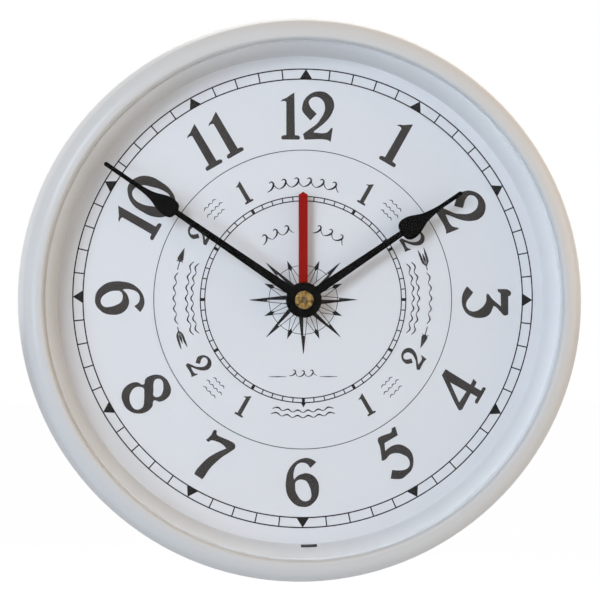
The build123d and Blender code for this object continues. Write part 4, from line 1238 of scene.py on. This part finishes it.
# The setting knobs are moulded in grey plastic and pushed on from behind, and are worn a little
# smoother than the cover round them.
knob_finish = skin(
    "grey knob plastic",
    (0.5, 0.5, 0.5, 1),
    roughness=0.38,
    tone_drift=0.06,
    grain_scale=1500,
    grain_height=0.02,
)
finish_node("time_setting_knob", knob_finish)
finish_node("tide_setting_knob", knob_finish)


# The wheels, pinions and middle plate are moulded in a milky low-friction plastic, which needs no
# oil.
gear_finish = skin(
    "milky gear plastic",
    (0.82, 0.79, 0.7, 1),
    roughness=0.42,
    tone_drift=0.05,
    grain_scale=1200,
    grain_height=0.006,
)
for node in (
    "middle_plate",
    "time_rotor_pinion",
    "time_first_wheel",
    "time_second_wheel",
    "centre_wheel",
    "motion_wheel",
    "hour_wheel",
    "tide_rotor_pinion",
    "tide_first_wheel",
    "tide_second_wheel",
    "tide_wheel",
):
    finish_node(node, gear_finish)


# Each motor has a pressed stator and core of soft iron, a moulded green bobbin, a winding of
# enamelled copper wire and a sintered dark magnet.
iron_finish = skin(
    "soft iron",
    (0.42, 0.41, 0.4, 1),
    roughness=0.4,
    tone_drift=0.25,
    patch_scale=400,
    metallic=1.0,
)
bobbin_finish = skin("green bobbin plastic", (0.1, 0.2, 0.14, 1), roughness=0.45, tone_drift=0.08)
winding_finish = skin(
    "enamelled copper wire",
    (0.62, 0.28, 0.12, 1),
    roughness=0.3,
    tone_drift=0.3,
    patch_scale=500,
    grain_scale=3500,
    grain_height=0.04,
    metallic=1.0,
)
magnet_finish = skin(
    "sintered magnet",
    (0.16, 0.16, 0.17, 1),
    roughness=0.5,
    tone_drift=0.15,
    metallic=0.6,
)
for train in ("time", "tide"):
    finish_node(train + "_stator", iron_finish)
    finish_node(train + "_coil_core", iron_finish)
    finish_node(train + "_coil_bobbin", bobbin_finish)
    finish_node(train + "_coil_winding", winding_finish)
    finish_node(train + "_rotor_magnet", magnet_finish)


# The circuit board is glass laminate under a green varnish, and the washer behind the dial is cut
# from rubber sheet.
board_finish = skin(
    "green board varnish",
    (0.04, 0.2, 0.1, 1),
    roughness=0.3,
    tone_drift=0.3,
    patch_scale=350,
    grain_scale=1600,
    grain_height=0.01,
)
rubber_finish = skin("black rubber", (0.025, 0.025, 0.026, 1), roughness=0.75, tone_drift=0.25)
finish_node("circuit_board", board_finish)
finish_node("rubber_washer", rubber_finish)


# The battery has a shrunk film round it, dark blue with a copper band at the positive end, and
# bare steel ends.
film_blue = (0.03, 0.05, 0.12, 1)
cell_finish = skin(
    "battery film",
    film_blue,
    roughness=0.24,
    tone_drift=0.12,
    patch_scale=90,
)


def band_along(finish, reach, bands, metal):
    """Colours a finish in bands across the battery: each band starts at a share of its length."""
    nodes = finish.node_tree.nodes
    links = finish.node_tree.links
    shader = nodes["Principled BSDF"]
    place = nodes.new("ShaderNodeTexCoord")
    split = nodes.new("ShaderNodeSeparateXYZ")
    share = nodes.new("ShaderNodeMapRange")
    share.inputs["From Min"].default_value = -reach * millimetre
    share.inputs["From Max"].default_value = reach * millimetre
    links.new(place.outputs["Object"], split.inputs[0])
    links.new(split.outputs["X"], share.inputs["Value"])
    for socket, table in (("Base Color", bands), ("Metallic", metal)):
        ramp = nodes.new("ShaderNodeValToRGB")
        ramp.color_ramp.interpolation = "CONSTANT"
        stops = ramp.color_ramp.elements
        while len(stops) < len(table):
            stops.new(1)
        for stop, (start, tone) in zip(stops, table):
            stop.position = start
            stop.color = tone
        links.new(share.outputs[0], ramp.inputs["Fac"])
        links.new(ramp.outputs["Color"], shader.inputs[socket])


battery_reach = 25.25
film_start = 0.012
copper_start = 0.70
cap_start = 0.965
steel_end = (0.55, 0.55, 0.56, 1)
is_metal = (1, 1, 1, 1)
isnt_metal = (0, 0, 0, 1)
band_along(
    cell_finish,
    battery_reach,
    (
        (0, steel_end),
        (film_start, film_blue),
        (copper_start, (0.62, 0.30, 0.13, 1)),
        (cap_start, steel_end),
    ),
    (
        (0, is_metal),
        (film_start, isnt_metal),
        (copper_start, is_metal),
        (cap_start, is_metal),
    ),
)
finish_node("battery", cell_finish)
